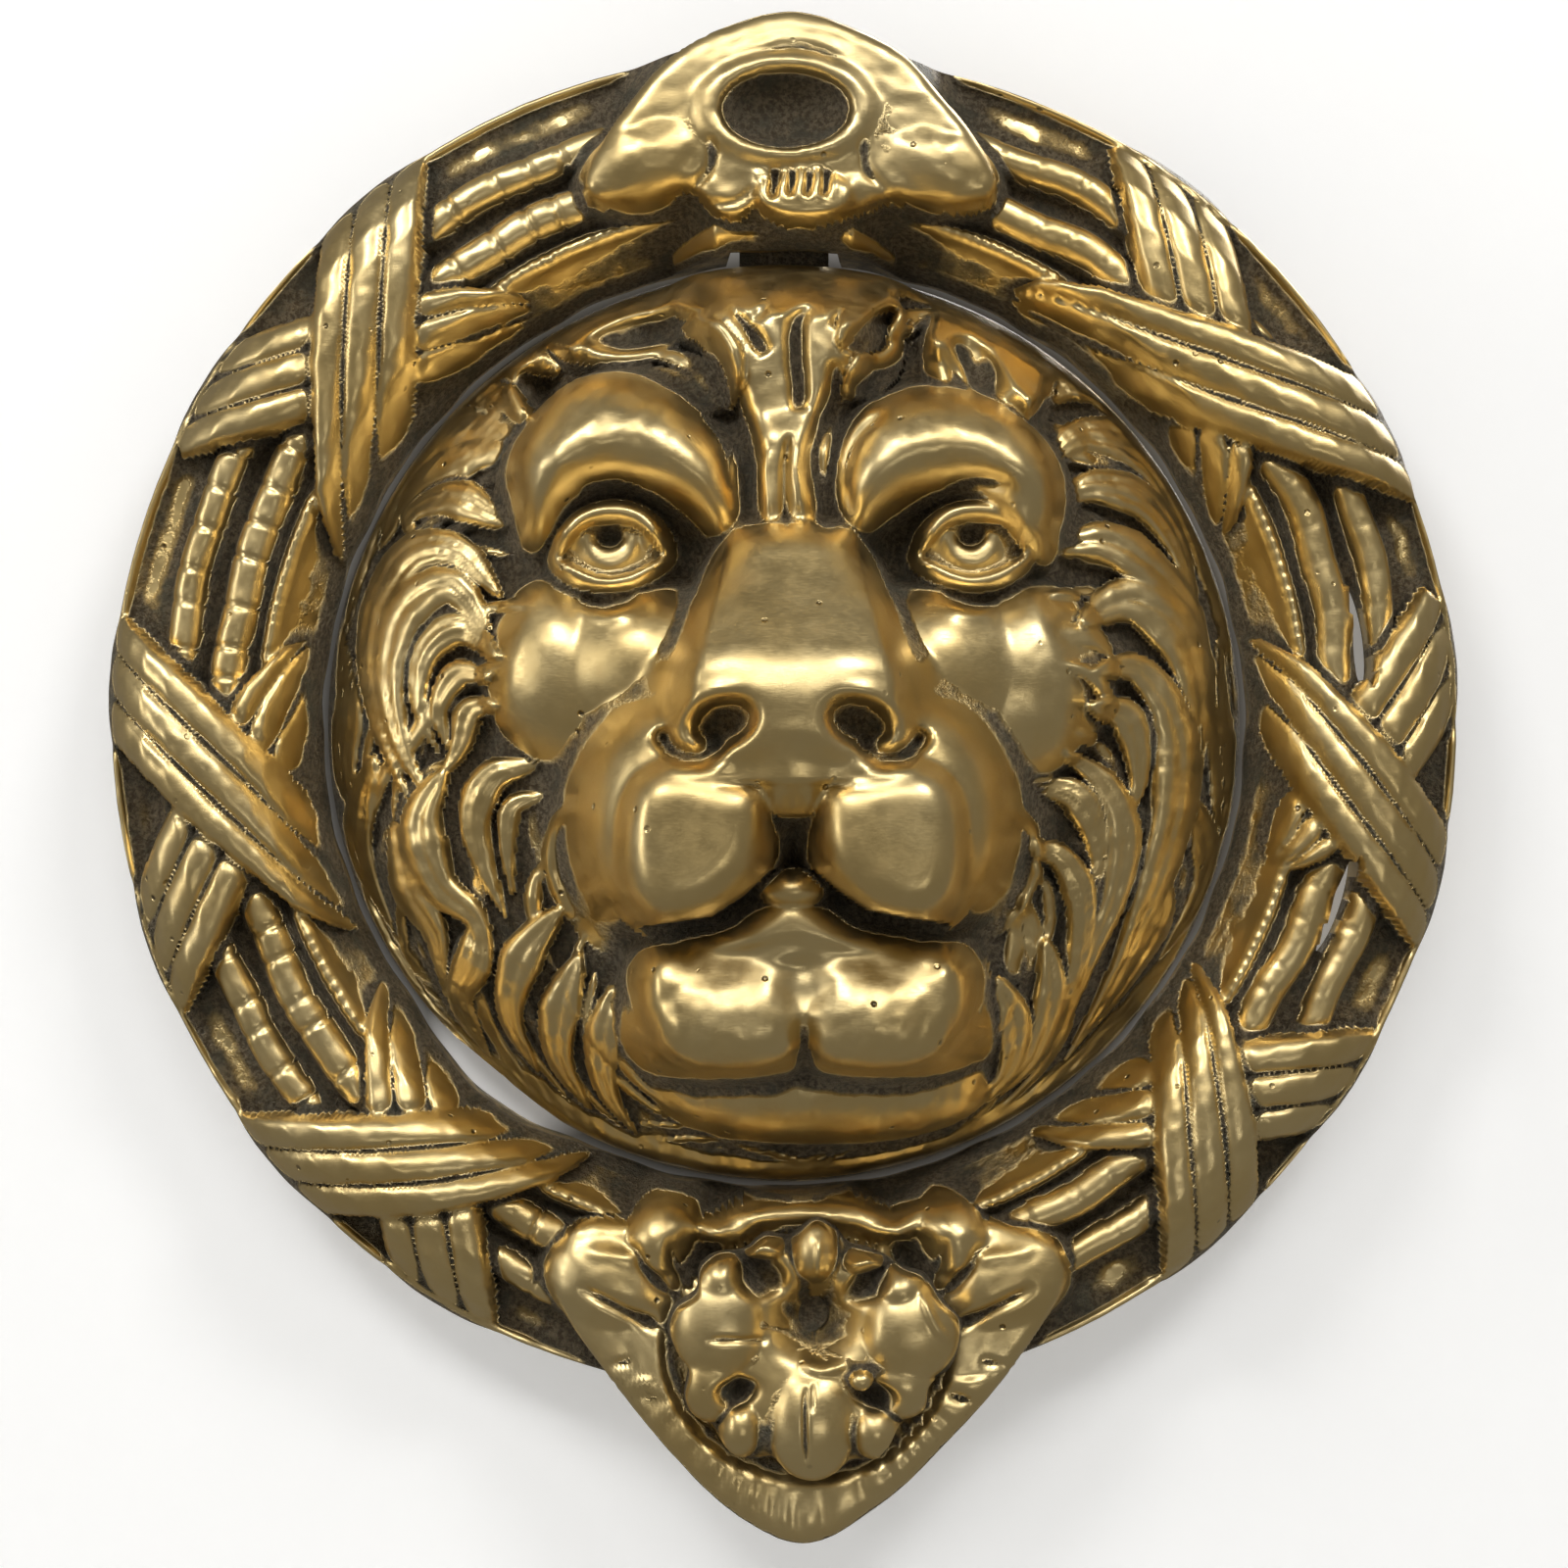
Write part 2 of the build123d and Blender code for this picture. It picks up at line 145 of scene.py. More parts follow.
class Sheet:
    """A relief: a grid of places (x, z) with a height at each one."""

    def __init__(self, x, z, wrap=(False, False)):
        self.x = x
        self.z = z
        self.wrap = wrap
        self.h = np.zeros_like(x)

    def near(self, points, margin):
        """Which places lie in the box round some points, so that a stroke only costs what it covers."""
        p = np.asarray(points)
        low = p.min(0) - margin
        high = p.max(0) + margin
        return (self.x > low[0]) & (self.x < high[0]) & (self.z > low[1]) & (self.z < high[1])

    def along(self, points, margin):
        """For the places near a curve: which they are, how far along it from 0 to 1, and how far aside."""
        line = curve_points(points)
        where = self.near(line, margin)
        x = self.x[where][:, None]
        z = self.z[where][:, None]
        start = line[:-1]
        run = line[1:] - start
        length2 = np.maximum((run**2).sum(1), 1e-9)
        t = np.clip(((x - start[:, 0]) * run[:, 0] + (z - start[:, 1]) * run[:, 1]) / length2, 0, 1)
        dx = x - start[:, 0] - t * run[:, 0]
        dz = z - start[:, 1] - t * run[:, 1]
        distance = np.hypot(dx, dz)
        best = distance.argmin(1)
        rows = np.arange(len(best))
        t_best = t[rows, best]
        side = np.sign(run[best, 0] * dz[rows, best] - run[best, 1] * dx[rows, best])
        steps = np.sqrt(length2)
        travelled = np.concatenate([[0.0], np.cumsum(steps)])
        along = (travelled[best] + t_best * steps[best]) / travelled[-1]
        return where, along, distance[rows, best] * side

    def over_oval(self, centre, radii, turn):
        """Every place as seen from an oval: along its two turned axes, in units of its radii."""
        a = math.radians(turn)
        x = self.x - centre[0]
        z = self.z - centre[1]
        u = (x * math.cos(a) + z * math.sin(a)) / radii[0]
        v = (z * math.cos(a) - x * math.sin(a)) / radii[1]
        return u, v

    def ball(self, centre, radii, height, turn=0.0, blend=2.0, square=2.0):
        """An ellipsoid seen from the front, with radii across, up and forward and its top at height.

        square 2 is round, and more is squarer."""
        u, v = self.over_oval(centre, radii, turn)
        ry = radii[2]
        r = (np.abs(u) ** square + np.abs(v) ** square) ** (1 / square)
        fall = -1.6 * (r - 1) * max(ry, 16.0)
        surface = np.where(r < 1, np.sqrt(np.maximum(1 - r * r, 0)) * ry, fall) + height - ry
        self.h = smooth_max(self.h, surface, blend)

    def dome(self, outline, low, high, width, blend=1.5, soft=2.5, lean=(0.0, 0.0)):
        """A smooth swelling that fills an outline: low at its edge, high from width inside it.

        lean is how fast it falls away upwards, and the z above which it does."""
        within, away = inside(self.x, self.z, rounded(outline, 4))
        edge = np.clip(away / width, 0, 1)
        outside = low - np.minimum(5.0 * away, 12.0)
        surface = np.where(within, low + (high - low) * np.sqrt(1 - (1 - edge) ** 2), outside)
        surface = blur(surface - lean[0] * np.maximum(self.z - lean[1], 0), soft, self.wrap)
        self.h = smooth_max(self.h, np.where(surface > low - 11.0, surface, FAR_BELOW), blend)

    def hollow(self, centre, radii, depth, turn=0.0, power=1.0):
        """Presses a soft oval dent."""
        u, v = self.over_oval(centre, radii, turn)
        self.h = self.h - depth * np.exp(-((u * u + v * v) ** power))

    def groove(self, points, width, depth, taper=0.25):
        """Cuts a line; taper is how much of its length fades at each end."""
        where, along, aside = self.along(points, 3 * width)
        fade = np.clip(np.minimum(along, 1 - along) / max(taper, 1e-6), 0, 1) ** 0.7
        self.h[where] -= depth * fade * np.exp(-((aside / width) ** 2))

    def ridge(self, points, width, height, taper=0.25):
        """Raises a line in the same way."""
        self.groove(points, width, -height, taper)

    def lock(self, base, points, width, rise, strands, groove):
        """A lock of hair: a raised strand with fine lines, rounded at its root and pointed at its end."""
        where, along, aside = self.along(points, width)
        root = np.clip(along / LOCK_ROOT, 0, 1) ** 0.5
        tip = np.clip((1 - along) / (1 - LOCK_ROOT), 0, 1) ** 0.75
        shape = root * tip
        half = np.maximum(width * 0.5 * shape, 1e-3)
        u = np.clip(aside / half, -1.5, 1.5)
        dome = np.sqrt(np.clip(1 - np.abs(u) ** 3, 0, 1))
        hair = np.abs(np.sin(strands * math.pi * (u + 1) / 2)) ** 0.6 - 1
        top = base[where] + rise * (0.25 + 0.75 * dome) * (0.35 + 0.65 * shape) + groove * hair * dome
        self.h[where] = smooth_max(self.h[where], np.where(np.abs(u) < 1, top, FAR_BELOW), 0.5)


# ---------------------------------------------------------------- meshes


def disc_places(count):
    """A square grid bent into a unit disc, so that its edge is the disc's edge."""
    u, v = np.meshgrid(np.linspace(-1, 1, count + 1), np.linspace(-1, 1, count + 1), indexing="ij")
    return u * np.sqrt(1 - v * v / 2), v * np.sqrt(1 - u * u / 2)


def edge_loop(count):
    """Grid indices round the edge of a square grid, in order."""
    i = list(range(count + 1))
    loop = [(k, 0) for k in i] + [(count, k) for k in i[1:]]
    loop += [(k, count) for k in reversed(i[:-1])] + [(0, k) for k in reversed(i[1:-1])]
    return np.array(loop)


def as_piece(mesh, body):
    """A smooth object from a mesh, riding on a body."""
    mesh.polygons.foreach_set("use_smooth", np.ones(len(mesh.polygons), bool))
    obj = bpy.data.objects.new(mesh.name, mesh)
    bpy.context.scene.collection.objects.link(obj)
    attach(obj, body)
    return obj


def mark_patina_and_shade(obj, values):
    """Stores how dark each point's patina is, mostly from how deep in a recess it lies, and on some pieces as
    painted shade; the brass material reads it.
    """
    layer = obj.data.attributes.new("patina_and_shade", "FLOAT", "POINT")
    layer.data.foreach_set("value", np.asarray(values, np.float32))


def casting(name, node, shell, patina_and_shade, recess_behind, body):
    """A carved piece from its closed shell, standing for a CAD node; the given patina and painted-shade
    values cover the front.
    """
    verts, faces = shell
    mesh = bpy.data.meshes.new(name)
    mesh.from_pydata((verts * MM).tolist(), [], [list(map(int, face)) for face in faces])
    mesh.validate()
    mesh.update()
    obj = as_piece(mesh, body)
    everywhere = np.full(len(verts), recess_behind)
    everywhere[: patina_and_shade.size] = patina_and_shade.ravel()
    mark_patina_and_shade(obj, everywhere)
    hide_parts(node)
    return obj


def squares(count_i, count_j):
    """Row and column of every square of a grid."""
    return np.meshgrid(np.arange(count_i), np.arange(count_j), indexing="ij")


def front_and_rear(sheet, back_height):
    """The relief's points, and those of its back, which has half the rows and columns."""
    front = np.stack([sheet.x, -sheet.h, sheet.z], -1)
    rear = np.stack([sheet.x[::2, ::2], -back_height, sheet.z[::2, ::2]], -1)
    return front.reshape(-1, 3), rear.reshape(-1, 3)


def halve_edge(a, m, c, p, q):
    """Three triangles between two fine steps a, m, c and one coarse step p, q."""
    return [(a, m, p), (m, q, p), (m, c, q)]


def side_wall(front, top, foot, rear_loop, rows, start, flip):
    """Closes a side, from an edge loop of the front down to the coarser loop of the back.

    Returns the new points, which are numbered from start, and the faces."""
    verts = []
    faces = []
    upper = top
    for k in range(1, rows):
        t = k / rows
        places = front[top].copy()
        places[:, 1] = places[:, 1] * (1 - t) + foot * t
        verts.append(places)
        lower = np.arange(start, start + len(top))
        start += len(top)
        faces += np.stack([upper, np.roll(upper, -1), np.roll(lower, -1), lower], 1).tolist()
        upper = lower
    for k in range(len(rear_loop)):
        fine = [upper[(2 * k + ahead) % len(upper)] for ahead in range(3)]
        faces += halve_edge(*fine, rear_loop[k], rear_loop[(k + 1) % len(rear_loop)])
    return verts, [face[::-1] for face in faces] if flip else faces


def recess_of(sheet):
    """1 in the low, shaded places that a polishing wheel misses, 0 on the high ones."""
    low = np.clip((blur(sheet.h, 3.0, sheet.wrap) - sheet.h) / 0.8, -1, 1)
    broad = np.clip((blur(sheet.h, 8.0, sheet.wrap) - sheet.h) / 3.4, -1, 1)
    return np.clip(0.42 + 0.50 * low + 0.42 * broad, 0, 1.4)


# ---------------------------------------------------------------- the lion's head

HEAD_R = 62.4            # outer radius of the mask
HEAD_RIM = 4             # height of the plain rim above the door
HEAD_GRID = 264          # squares across the front of the mask
FACE_MIDDLE = 1.1        # x of the line down the middle of the face
CRESCENT_ANGLE = -129    # where the gap round the mask is widest, in degrees


def placed(points, x, z=0.0, side=1):
    """Points moved to x and z; side -1 mirrors them first."""
    return [(x + side * px, z + pz) for px, pz in points]


LEFT_BROW = (
    (-34, 26), (-35, 34), (-31, 41), (-25.8, 45), (-19.4, 45.8), (-12.6, 42.8), (-9, 39.2), (-6.2, 35),
    (-5, 30), (-4.4, 24), (-8.6, 21.6), (-13, 25.6), (-19.7, 28.6), (-26, 27.4), (-31.5, 22),
)
RIGHT_BROW = (
    (34.6, 21.5), (35.6, 31), (32, 38.4), (26, 42.6), (19.7, 44.2), (12.9, 43), (8.8, 40.4), (6.2, 34.4),
    (5.6, 27), (9, 21.2), (14, 25.2), (19.5, 27.8), (25.4, 27), (31, 20.5),
)
MUZZLE = (
    (-10, 9), (-19, 5), (-25.6, -1), (-28.2, -11), (-26, -21), (-20.6, -26.6), (-12, -25.6), (-6, -24),
    (-1.8, -19.4), (1, -17.6), (4, -19.4), (8.2, -23), (14.4, -25), (22.4, -26.2), (28, -21), (30.6, -12),
    (28.4, -2), (21.6, 5), (12.4, 9), (1, 12),
)
LEFT_PAD = (
    (-1.8, -7.6), (-8, -5.2), (-14.6, -4.4), (-19.2, -7.6), (-20.6, -14), (-19.6, -21.4), (-15.4, -25.4),
    (-9, -24.6), (-3.6, -20.6), (-1.4, -16.4), (-1, -11.4),
)
CHIN = (
    (2, -25), (-5, -26.6), (-12, -27), (-17, -28.6), (-19, -33), (-17.6, -38.6), (-14.6, -42), (-8, -43),
    (-2, -42.6), (3, -40.6), (8, -42.6), (14, -43), (20, -41.4), (23.4, -37.6), (24.2, -33), (22, -28.6),
    (16, -27), (9, -26.6),
)
LOWER_LIP = (
    (-16, -27.6), (-8, -26), (-3.4, -22.6), (0.9, -19.8), (5.4, -22.6), (10, -26), (18.6, -27.6), (11, -31),
    (1, -30), (-8, -31),
)
FOREHEAD = (
    (-4.4, 24), (-4.8, 33), (-6.6, 40), (-8.4, 46), (-11.6, 52), (-13, 57), (-6, 60), (4, 60), (12, 58),
    (11, 50), (9.6, 44), (6.6, 38), (6, 30), (6.2, 24),
)


def face_mass(s):
    """The big rounded masses, without any hair."""
    r = np.hypot(s.x, s.z)
    s.h = soft_interp(r, [0, 28, 40, 47, 53, 57.5, 60.8, 62.6], [29, 27, 24, 21, 17, 11.5, 6, 4], 2)
    s.ball((FACE_MIDDLE, 12), (38, 44, 14), 32, blend=6)
    s.ball((FACE_MIDDLE, -28), (31, 27, 12), 29, blend=6)
    s.dome(FOREHEAD, 33, 38.5, 4.5, 2)
    s.ball((FACE_MIDDLE, 52), (15, 12, 14), 33, blend=3)
    s.ball((-25, 6), (15, 13.4, 13), 36.5, turn=-28, blend=5, square=2.2)
    s.ball((28, 5), (15.6, 14, 13), 36.5, turn=28, blend=5, square=2.2)


def bridge(s):
    """The broad bridge of the nose, running out to the nose leather."""
    top = soft_interp(s.z, [-6, 2, 7, 10, 16, 22.5, 24, 26.5], [56, 59, 58.6, 56, 50.5, 45.5, 43, 33], 1.6)
    half = soft_interp(s.z, [-6, 4, 9, 15, 21, 25], [14.4, 14, 12.6, 11.2, 9.9, 8.2], 2)
    u = np.abs(s.x - FACE_MIDDLE) / half
    top = top - 5 * np.clip((s.z - 15) / 8, 0, 1) * u**2 * 0.6
    surface = top - 3.2 * np.minimum(u, 1.3) ** 2.6 - np.maximum(u - 0.84, 0) ** 1.4 * 42
    surface = np.where((s.z > -8) & (s.z < 30), surface, FAR_BELOW)
    s.h = smooth_max(s.h, surface, 4)


def muzzle(s):
    """Side planes of the muzzle, the lip pads and the nose leather."""
    for side in (-1, 1):
        s.ball((FACE_MIDDLE + side * 17, 7), (12, 12, 14), 40.5, blend=5)
    s.dome(MUZZLE, 32, 52, 11.5, 6, 6)
    for outline in (LEFT_PAD, placed(LEFT_PAD, 2 * FACE_MIDDLE, side=-1)):
        s.dome(outline, 49.5, 57.6, 5.2, 2.6, 2.4)
    s.ball((FACE_MIDDLE, 0.8), (15.6, 9, 13), 59.6, blend=1.6, square=2.8)
    s.ball((FACE_MIDDLE, -6), (6.2, 6.4, 8), 57, blend=2.5)


def mouth_and_chin(s):
    """Cuts the mouth under the upper lip, then builds the lower lip and the chin below it."""
    lip_x = [-27, -20.2, -14.4, -9, -5, -1.8, 1, 3.8, 6.8, 10.4, 15.4, 21.6, 28]
    lip_z = [-26.8, -26.2, -25.6, -24.8, -22.2, -19.2, -18, -19, -21.6, -24, -25, -25.8, -26.8]
    below = np.interp(s.x, lip_x, lip_z) - s.z
    mouth = (below > -0.9) & (s.z > -60)
    floor = np.where(below > 0, 37 - below * 0.55, 37 - below * 24)
    s.h = np.where(mouth, smooth_min(s.h, floor, 0.5), s.h)
    s.ball((4.6, -46.6), (23.5, 9.6, 17), 29.5, blend=3, square=2.4)
    s.dome(LOWER_LIP, 38, 45.5, 3.6, 2)
    s.dome(CHIN, 37, 45.6, 5, 2, 2.2)
    for x in (-6.4, 11.4):
        s.ball((x, -37.6), (9.4, 6, 5), 47.4, blend=2, square=2.4)
    s.hollow((2.4, -33), (3, 3.6), 1.6, power=1.2)
    s.groove([(-16, -31.6), (-8, -30), (0.6, -30.6), (10, -30), (20, -31.6)], 1.6, 1)
    s.ball((1, -21.2), (4.2, 2.8, 5), 46.5, blend=0.8)


EYES = ((-22.3, 22.4), (24.1, 22.6))
LIDS = ((-8.2, -1.2), (-5.4, 4.4), (0.4, 6.8), (6, 4.8), (8.6, -1), (4.8, -5.6), (-0.4, -6.8), (-5.6, -5.2))
ALMOND = ((-6.8, -1.4), (-3.8, 2.5), (0.4, 3.5), (4.4, 2.5), (7, -1.2), (3.6, -3.5), (-0.4, -4.3), (-4, -3.2))


def eyes(s):
    """An eyeball in an almond opening between thick lids, with a ringed iris and a drilled pupil."""
    for x, z in EYES:
        side = 1 if x > FACE_MIDDLE else -1
        s.hollow((x - side, z + 0.4), (10.4, 7.4), 3.4, turn=side * -6, power=1.6)
        s.hollow((x - side * 9.4, z - 2.6), (4, 5), 2.4, power=1.2)
        s.dome(placed(LIDS, x, z), 29, 34, 3, 1.4, 1.3)
        almond = placed(ALMOND, x, z)
        within, away = inside(s.x, s.z, rounded(almond, 5))
        ball = 33 - ((s.x - x) ** 2 + (s.z - z) ** 2) / 17 - np.exp(-((away / 0.7) ** 2))
        opening = step(0, 0.9, away) * within
        s.h = s.h * (1 - opening) + ball * opening
        upper, lower = almond[:5], almond[5:]
        s.ridge(placed(upper, 0, 1.2), 1.7, 2.8, 0.12)
        s.ridge([upper[-1], *placed(lower, 0, -0.6), upper[0]], 1.1, 1.3, 0.12)
        s.groove(placed(upper[1:4], 0, 4.4), 0.8, 1.5)
        s.groove(placed(lower, 0, -3), 0.9, 1.2)
        s.ridge(placed(lower, 0, -4.8), 1, 0.9)
        ring = [(x + 3 * math.cos(a), z + 0.5 + 2.8 * math.sin(a)) for a in np.linspace(0.4, -3.54, 11)]
        s.ridge(ring, 0.5, 0.35, 0.05)
        s.hollow((x - 0.1, z + 1.2), (1.7, 1.5), 2.2, power=1.6)


def nose_detail(s):
    """The nostrils with their slits and rims, and the cleft under the nose."""
    slit = ((0, -2.6), (3.2, -4.6), (6.6, -3.8), (8.4, -1.2))
    below = ((-1, -5.6), (2.6, -6.6), (6.6, -5.6), (9, -2.6))
    above = ((-2, 3), (2.4, 2.8), (5.2, 0.4), (5.4, -1.6))
    for side in (-1, 1):
        x = 0.9 + side * 8
        s.hollow((x + side * 0.4, -0.6), (3.9, 2.7), 6.5, turn=side * -22, power=2)
        s.groove(placed(slit, x, side=side), 1.05, 3.6, 0.12)
        s.ridge(placed(below, x, side=side), 0.9, 0.9)
        s.ridge(placed(above, x, side=side), 1.1, 0.5)
    s.groove([(1.1, -8), (1.1, -12), (1.1, -18.5)], 1.6, 1.5, 0.2)
    s.groove([(1.1, -12), (1.1, -18.5)], 0.5, 0.8, 0.1)


def forehead_lines(s):
    """Dark cuts between the forelock's tufts and down beside the bridge of the nose."""
    cuts = (
        (((4.6, 54), (1.9, 51.4), (1.5, 46.8), (1.9, 42.8), (1.9, 39.2)), 1.15, 3.2),
        (((-9.6, 48.7), (-7.6, 43.6), (-6, 39.7), (-4.4, 35.6), (-4, 31), (-3.8, 24.5)), 1, 3.4),
        (((6.6, 46), (6.5, 42), (4.8, 37.5), (3.9, 33.3), (4.8, 28), (5.8, 23.5)), 1.15, 3.6),
        (((0.7, 36.4), (0, 31), (0.3, 24.4)), 0.5, 1.8),
        (((-4.2, 51), (-2.6, 53), (-0.6, 55.4), (1.6, 60)), 1, 2.6),
        (((-2.2, 46.6), (-4.4, 50), (-6.6, 53.4), (-7.6, 60)), 0.85, 3),
        (((6.8, 49.8), (7.2, 52), (8.4, 56), (9, 60)), 0.9, 2.8),
        (((8.4, 47), (10.4, 50.6), (12.4, 52.6), (15, 53.4)), 1.2, 3.2),
        (((7.4, 42.6), (11, 43.6), (15, 46.6), (17.4, 50.4)), 1, 2.8),
        (((-10.8, 39.8), (-7.9, 35.6), (-6.7, 29.4)), 0.5, 1.3),
        (((13, 39.4), (9.4, 36), (7.8, 31.4), (8.8, 26)), 0.6, 1.4),
    )
    for path, width, depth in cuts:
        s.groove(path, width, depth, 0.14)
    for path in (((-2.1, 34.4), (-2.3, 31), (-1.7, 25)), ((1.6, 34.4), (1.5, 31), (2.4, 25)),
                 ((-9.4, 40.4), (-6.6, 35.6), (-5.6, 29.4)), ((12, 41), (8, 36), (6.8, 30))):
        s.ridge(path, 0.6, 0.9)


def ears(s):
    """Two small cupped ears among the hair, each with a rolled rim."""
    s.ball((26, 46), (8, 9.6, 9), 31, blend=1.5)
    s.hollow((25, 47.2), (3.6, 5.4), 8, turn=14, power=1.8)
    s.ridge([(19, 47), (20.4, 51.4), (25, 53.8), (30, 50.4), (32, 44), (31.4, 36.6)], 1.5, 4.2, 0.12)
    s.ridge([(20.6, 50), (22.6, 46.6), (24.8, 42.4), (27.6, 39.4)], 0.8, 2.2, 0.2)
    s.ball((-20.4, 51.6), (9.4, 5.6, 8), 26, blend=1.5)
    s.hollow((-20.3, 51.4), (6, 2.6), 7, turn=4, power=1.8)
    rim = [(-26.6, 47.6), (-29, 51.6), (-25.4, 55.2), (-19.8, 56.8), (-14.6, 55.4), (-12, 51.6)]
    s.ridge(rim, 1.3, 3.4, 0.12)
    s.hollow((-32, 44.6), (2, 3), 4, turn=-10, power=1.6)
    s.ridge([(-33, 50.2), (-36, 46.8), (-35.4, 42.2), (-32.6, 40.4)], 1.3, 2.4, 0.15)


# Each lock: its path from root to tip, its width, how far it stands up, how many hair lines it has.
LEFT_LOCKS = (
    (((-57, 40), (-57.6, 30), (-58.6, 20), (-59, 10)), 5, 2, 1),
    (((-60, 12), (-59, 2), (-59.6, -6), (-56.4, -20)), 4.6, 2.4, 2),
    (((-54.6, -4), (-57.4, -11), (-57.4, -18), (-53, -28)), 4.4, 2.4, 2),
    (((-57.6, -22), (-55, -30), (-50, -37), (-42, -44.5)), 3.4, 2.2, 1),
    (((-46, 46), (-50, 42), (-53, 36), (-54, 30)), 6, 2.4, 2),
    (((-33, 36.5), (-42, 38), (-50, 34), (-54.6, 24)), 9, 3, 1),
    (((-36, 26), (-44, 30), (-50.4, 28), (-48.6, 23.4)), 5, 3, 1),
    (((-37, 16.6), (-43, 22.6), (-49.6, 22.6), (-54.4, 16), (-55.6, 8), (-53.6, -1),
      (-49.4, -11)), 5.6, 3.2, 2),
    (((-38.4, 12), (-44, 18), (-50.4, 15), (-52.6, 7), (-51, -2), (-47, -10)), 6.2, 3.6, 1),
    (((-36.6, 8), (-42.4, 12.4), (-47.2, 9.6), (-48.4, 3), (-45.6, -4)), 4.2, 2.8, 2),
    (((-38, 5.6), (-42.6, 6.4), (-45.4, 2), (-44, -4)), 3.6, 2.8, 1),
    (((-37, 2), (-41, 1.6), (-42.6, -3), (-45.6, -8)), 3.6, 2.6, 1),
    (((-52, -13), (-50, -22), (-46.6, -28), (-45.8, -37)), 5, 3, 1),
    (((-44.6, -6), (-48, -13), (-46, -21), (-40.6, -26), (-39, -33.6)), 5.8, 4, 1),
    (((-40, -24), (-41, -31), (-43.6, -37), (-40, -45)), 4.8, 3.2, 2),
    (((-31.6, -5.4), (-38, -7), (-40.6, -12.6), (-39.2, -19), (-36.4, -26)), 4.4, 3.8, 2),
    (((-31, -9.4), (-35.4, -11), (-36.2, -16), (-35.6, -23)), 2.8, 3, 1),
    (((-29, -24), (-34.6, -31), (-36.4, -39), (-33, -47)), 5, 3.8, 1),
    (((-26.6, -30), (-29.6, -38), (-29.8, -45), (-26, -52)), 5, 3.4, 1),
    (((-22, -34), (-24, -42), (-23.6, -49), (-20, -55)), 4.4, 3, 1),
)
RIGHT_LOCKS = (
    (((46, 42), (53, 36), (57, 28), (58.4, 19)), 5, 2.2, 1),
    (((34, 42.6), (39, 46), (45, 44), (49, 39)), 4.6, 2.8, 2),
    (((34, 34), (40, 38.6), (47.6, 37), (53, 30), (57.4, 18)), 5.4, 3, 2),
    (((34.6, 28.4), (41, 31.4), (48, 30), (53, 24), (56.4, 13)), 5, 3.4, 2),
    (((33.5, 22.4), (42, 24), (49, 20.6), (55, 14.6), (57.4, 4)), 5.6, 3.4, 1),
    (((59, 12), (58.4, 2), (59.6, -8), (59, -16), (56, -26)), 4.8, 2.4, 1),
    (((38, 12.6), (45.6, 16.4), (52.6, 12.4), (55.6, 4), (55, -5), (52.6, -13)), 7.2, 3.4, 1),
    (((52.6, -8), (56.6, -14.6), (57, -22), (51, -32)), 4.4, 2.8, 1),
    (((39.4, 6.4), (46.6, 7), (51.6, 0), (52.2, -10), (49.4, -21), (45, -33), (38, -45.6)), 6.4, 4, 1),
    (((39, 2), (45, 0.6), (46.8, -6), (45.6, -13)), 4.6, 3.4, 1),
    (((50.6, -18), (51, -25), (47, -33), (41, -42)), 3.6, 3, 1),
    (((36, -4), (42, -8), (44.8, -15), (43.6, -23), (40.6, -31), (38, -40)), 4.6, 3.8, 1),
    (((31.4, -8), (38, -9.6), (41.2, -16), (41, -25)), 4.2, 3.6, 2),
    (((30, -16), (35.8, -17.4), (39, -23), (38.8, -32), (36.6, -42)), 4, 3.8, 2),
    (((34.4, -28), (35.4, -36), (33.6, -44), (29, -50)), 4.4, 3.4, 1),
    (((27.4, -33), (30.4, -39), (30, -46), (25, -52)), 4.6, 3.2, 1),
)
TOP_LOCKS = (
    (((-7, 40), (-7.6, 46), (-10.6, 50.4), (-17, 50.8)), 4.2, 3.4, 1),
    (((-8, 40), (-10.4, 45), (-14, 47.6), (-19, 48.6)), 3.4, 3, 0),
    (((-9, 39.8), (-12.2, 43.4), (-16, 45.4), (-22, 46.8)), 3.2, 2.6, 0),
    (((7.6, 42), (11, 44.6), (14, 47.4), (15.6, 51.4)), 4.6, 3.4, 0),
    (((7, 47.4), (9.4, 52.6), (13.4, 54.8), (18, 54)), 2.8, 3.4, 0),
    (((13.6, 49.6), (16.6, 53.2), (20.6, 54.6), (24, 56.6)), 3, 3.4, 1),
    (((9, 54), (13, 57.6), (18, 58.4), (24, 57.2)), 3.2, 2.8, 1),
    (((-8.4, 52), (-10, 55.6), (-12.6, 58), (-16, 59.2)), 3.2, 3.2, 1),
    (((-33, 38), (-37.6, 42.6), (-43, 45.4), (-49, 44)), 5, 2.6, 2),
    (((-30, 47), (-35, 49.6), (-40, 49.4), (-44, 46.4)), 4, 2.6, 1),
    (((33, 52), (37, 50.6), (42, 47.6), (46, 43)), 4, 2.6, 1),
    (((30, 54), (35, 53), (40, 50), (44, 46)), 3.4, 2.4, 1),
)


def under_hair(s, base):
    """Fine strands that show between the mane's larger locks."""
    rng = np.random.default_rng(5)
    for degrees in np.arange(-246, 66, 3.4):
        side = 1 if math.cos(math.radians(degrees)) > 0 else -1
        start = 36 + rng.uniform(-2, 15)
        reach_out = rng.uniform(10, 16)
        path = []
        for t in (0, 0.35, 0.7, 1):
            a = math.radians(degrees - side * (16 * t * t + 5 * t))
            r = start + reach_out * t**0.8
            path.append((r * math.cos(a), r * math.sin(a)))
        s.lock(base - 1.4, path, rng.uniform(2.2, 3.6), rng.uniform(1.6, 3.2), 1, groove=0.3)


LOCK_WIDTH = 1.22        # all the mane's locks are drawn this much wider than listed


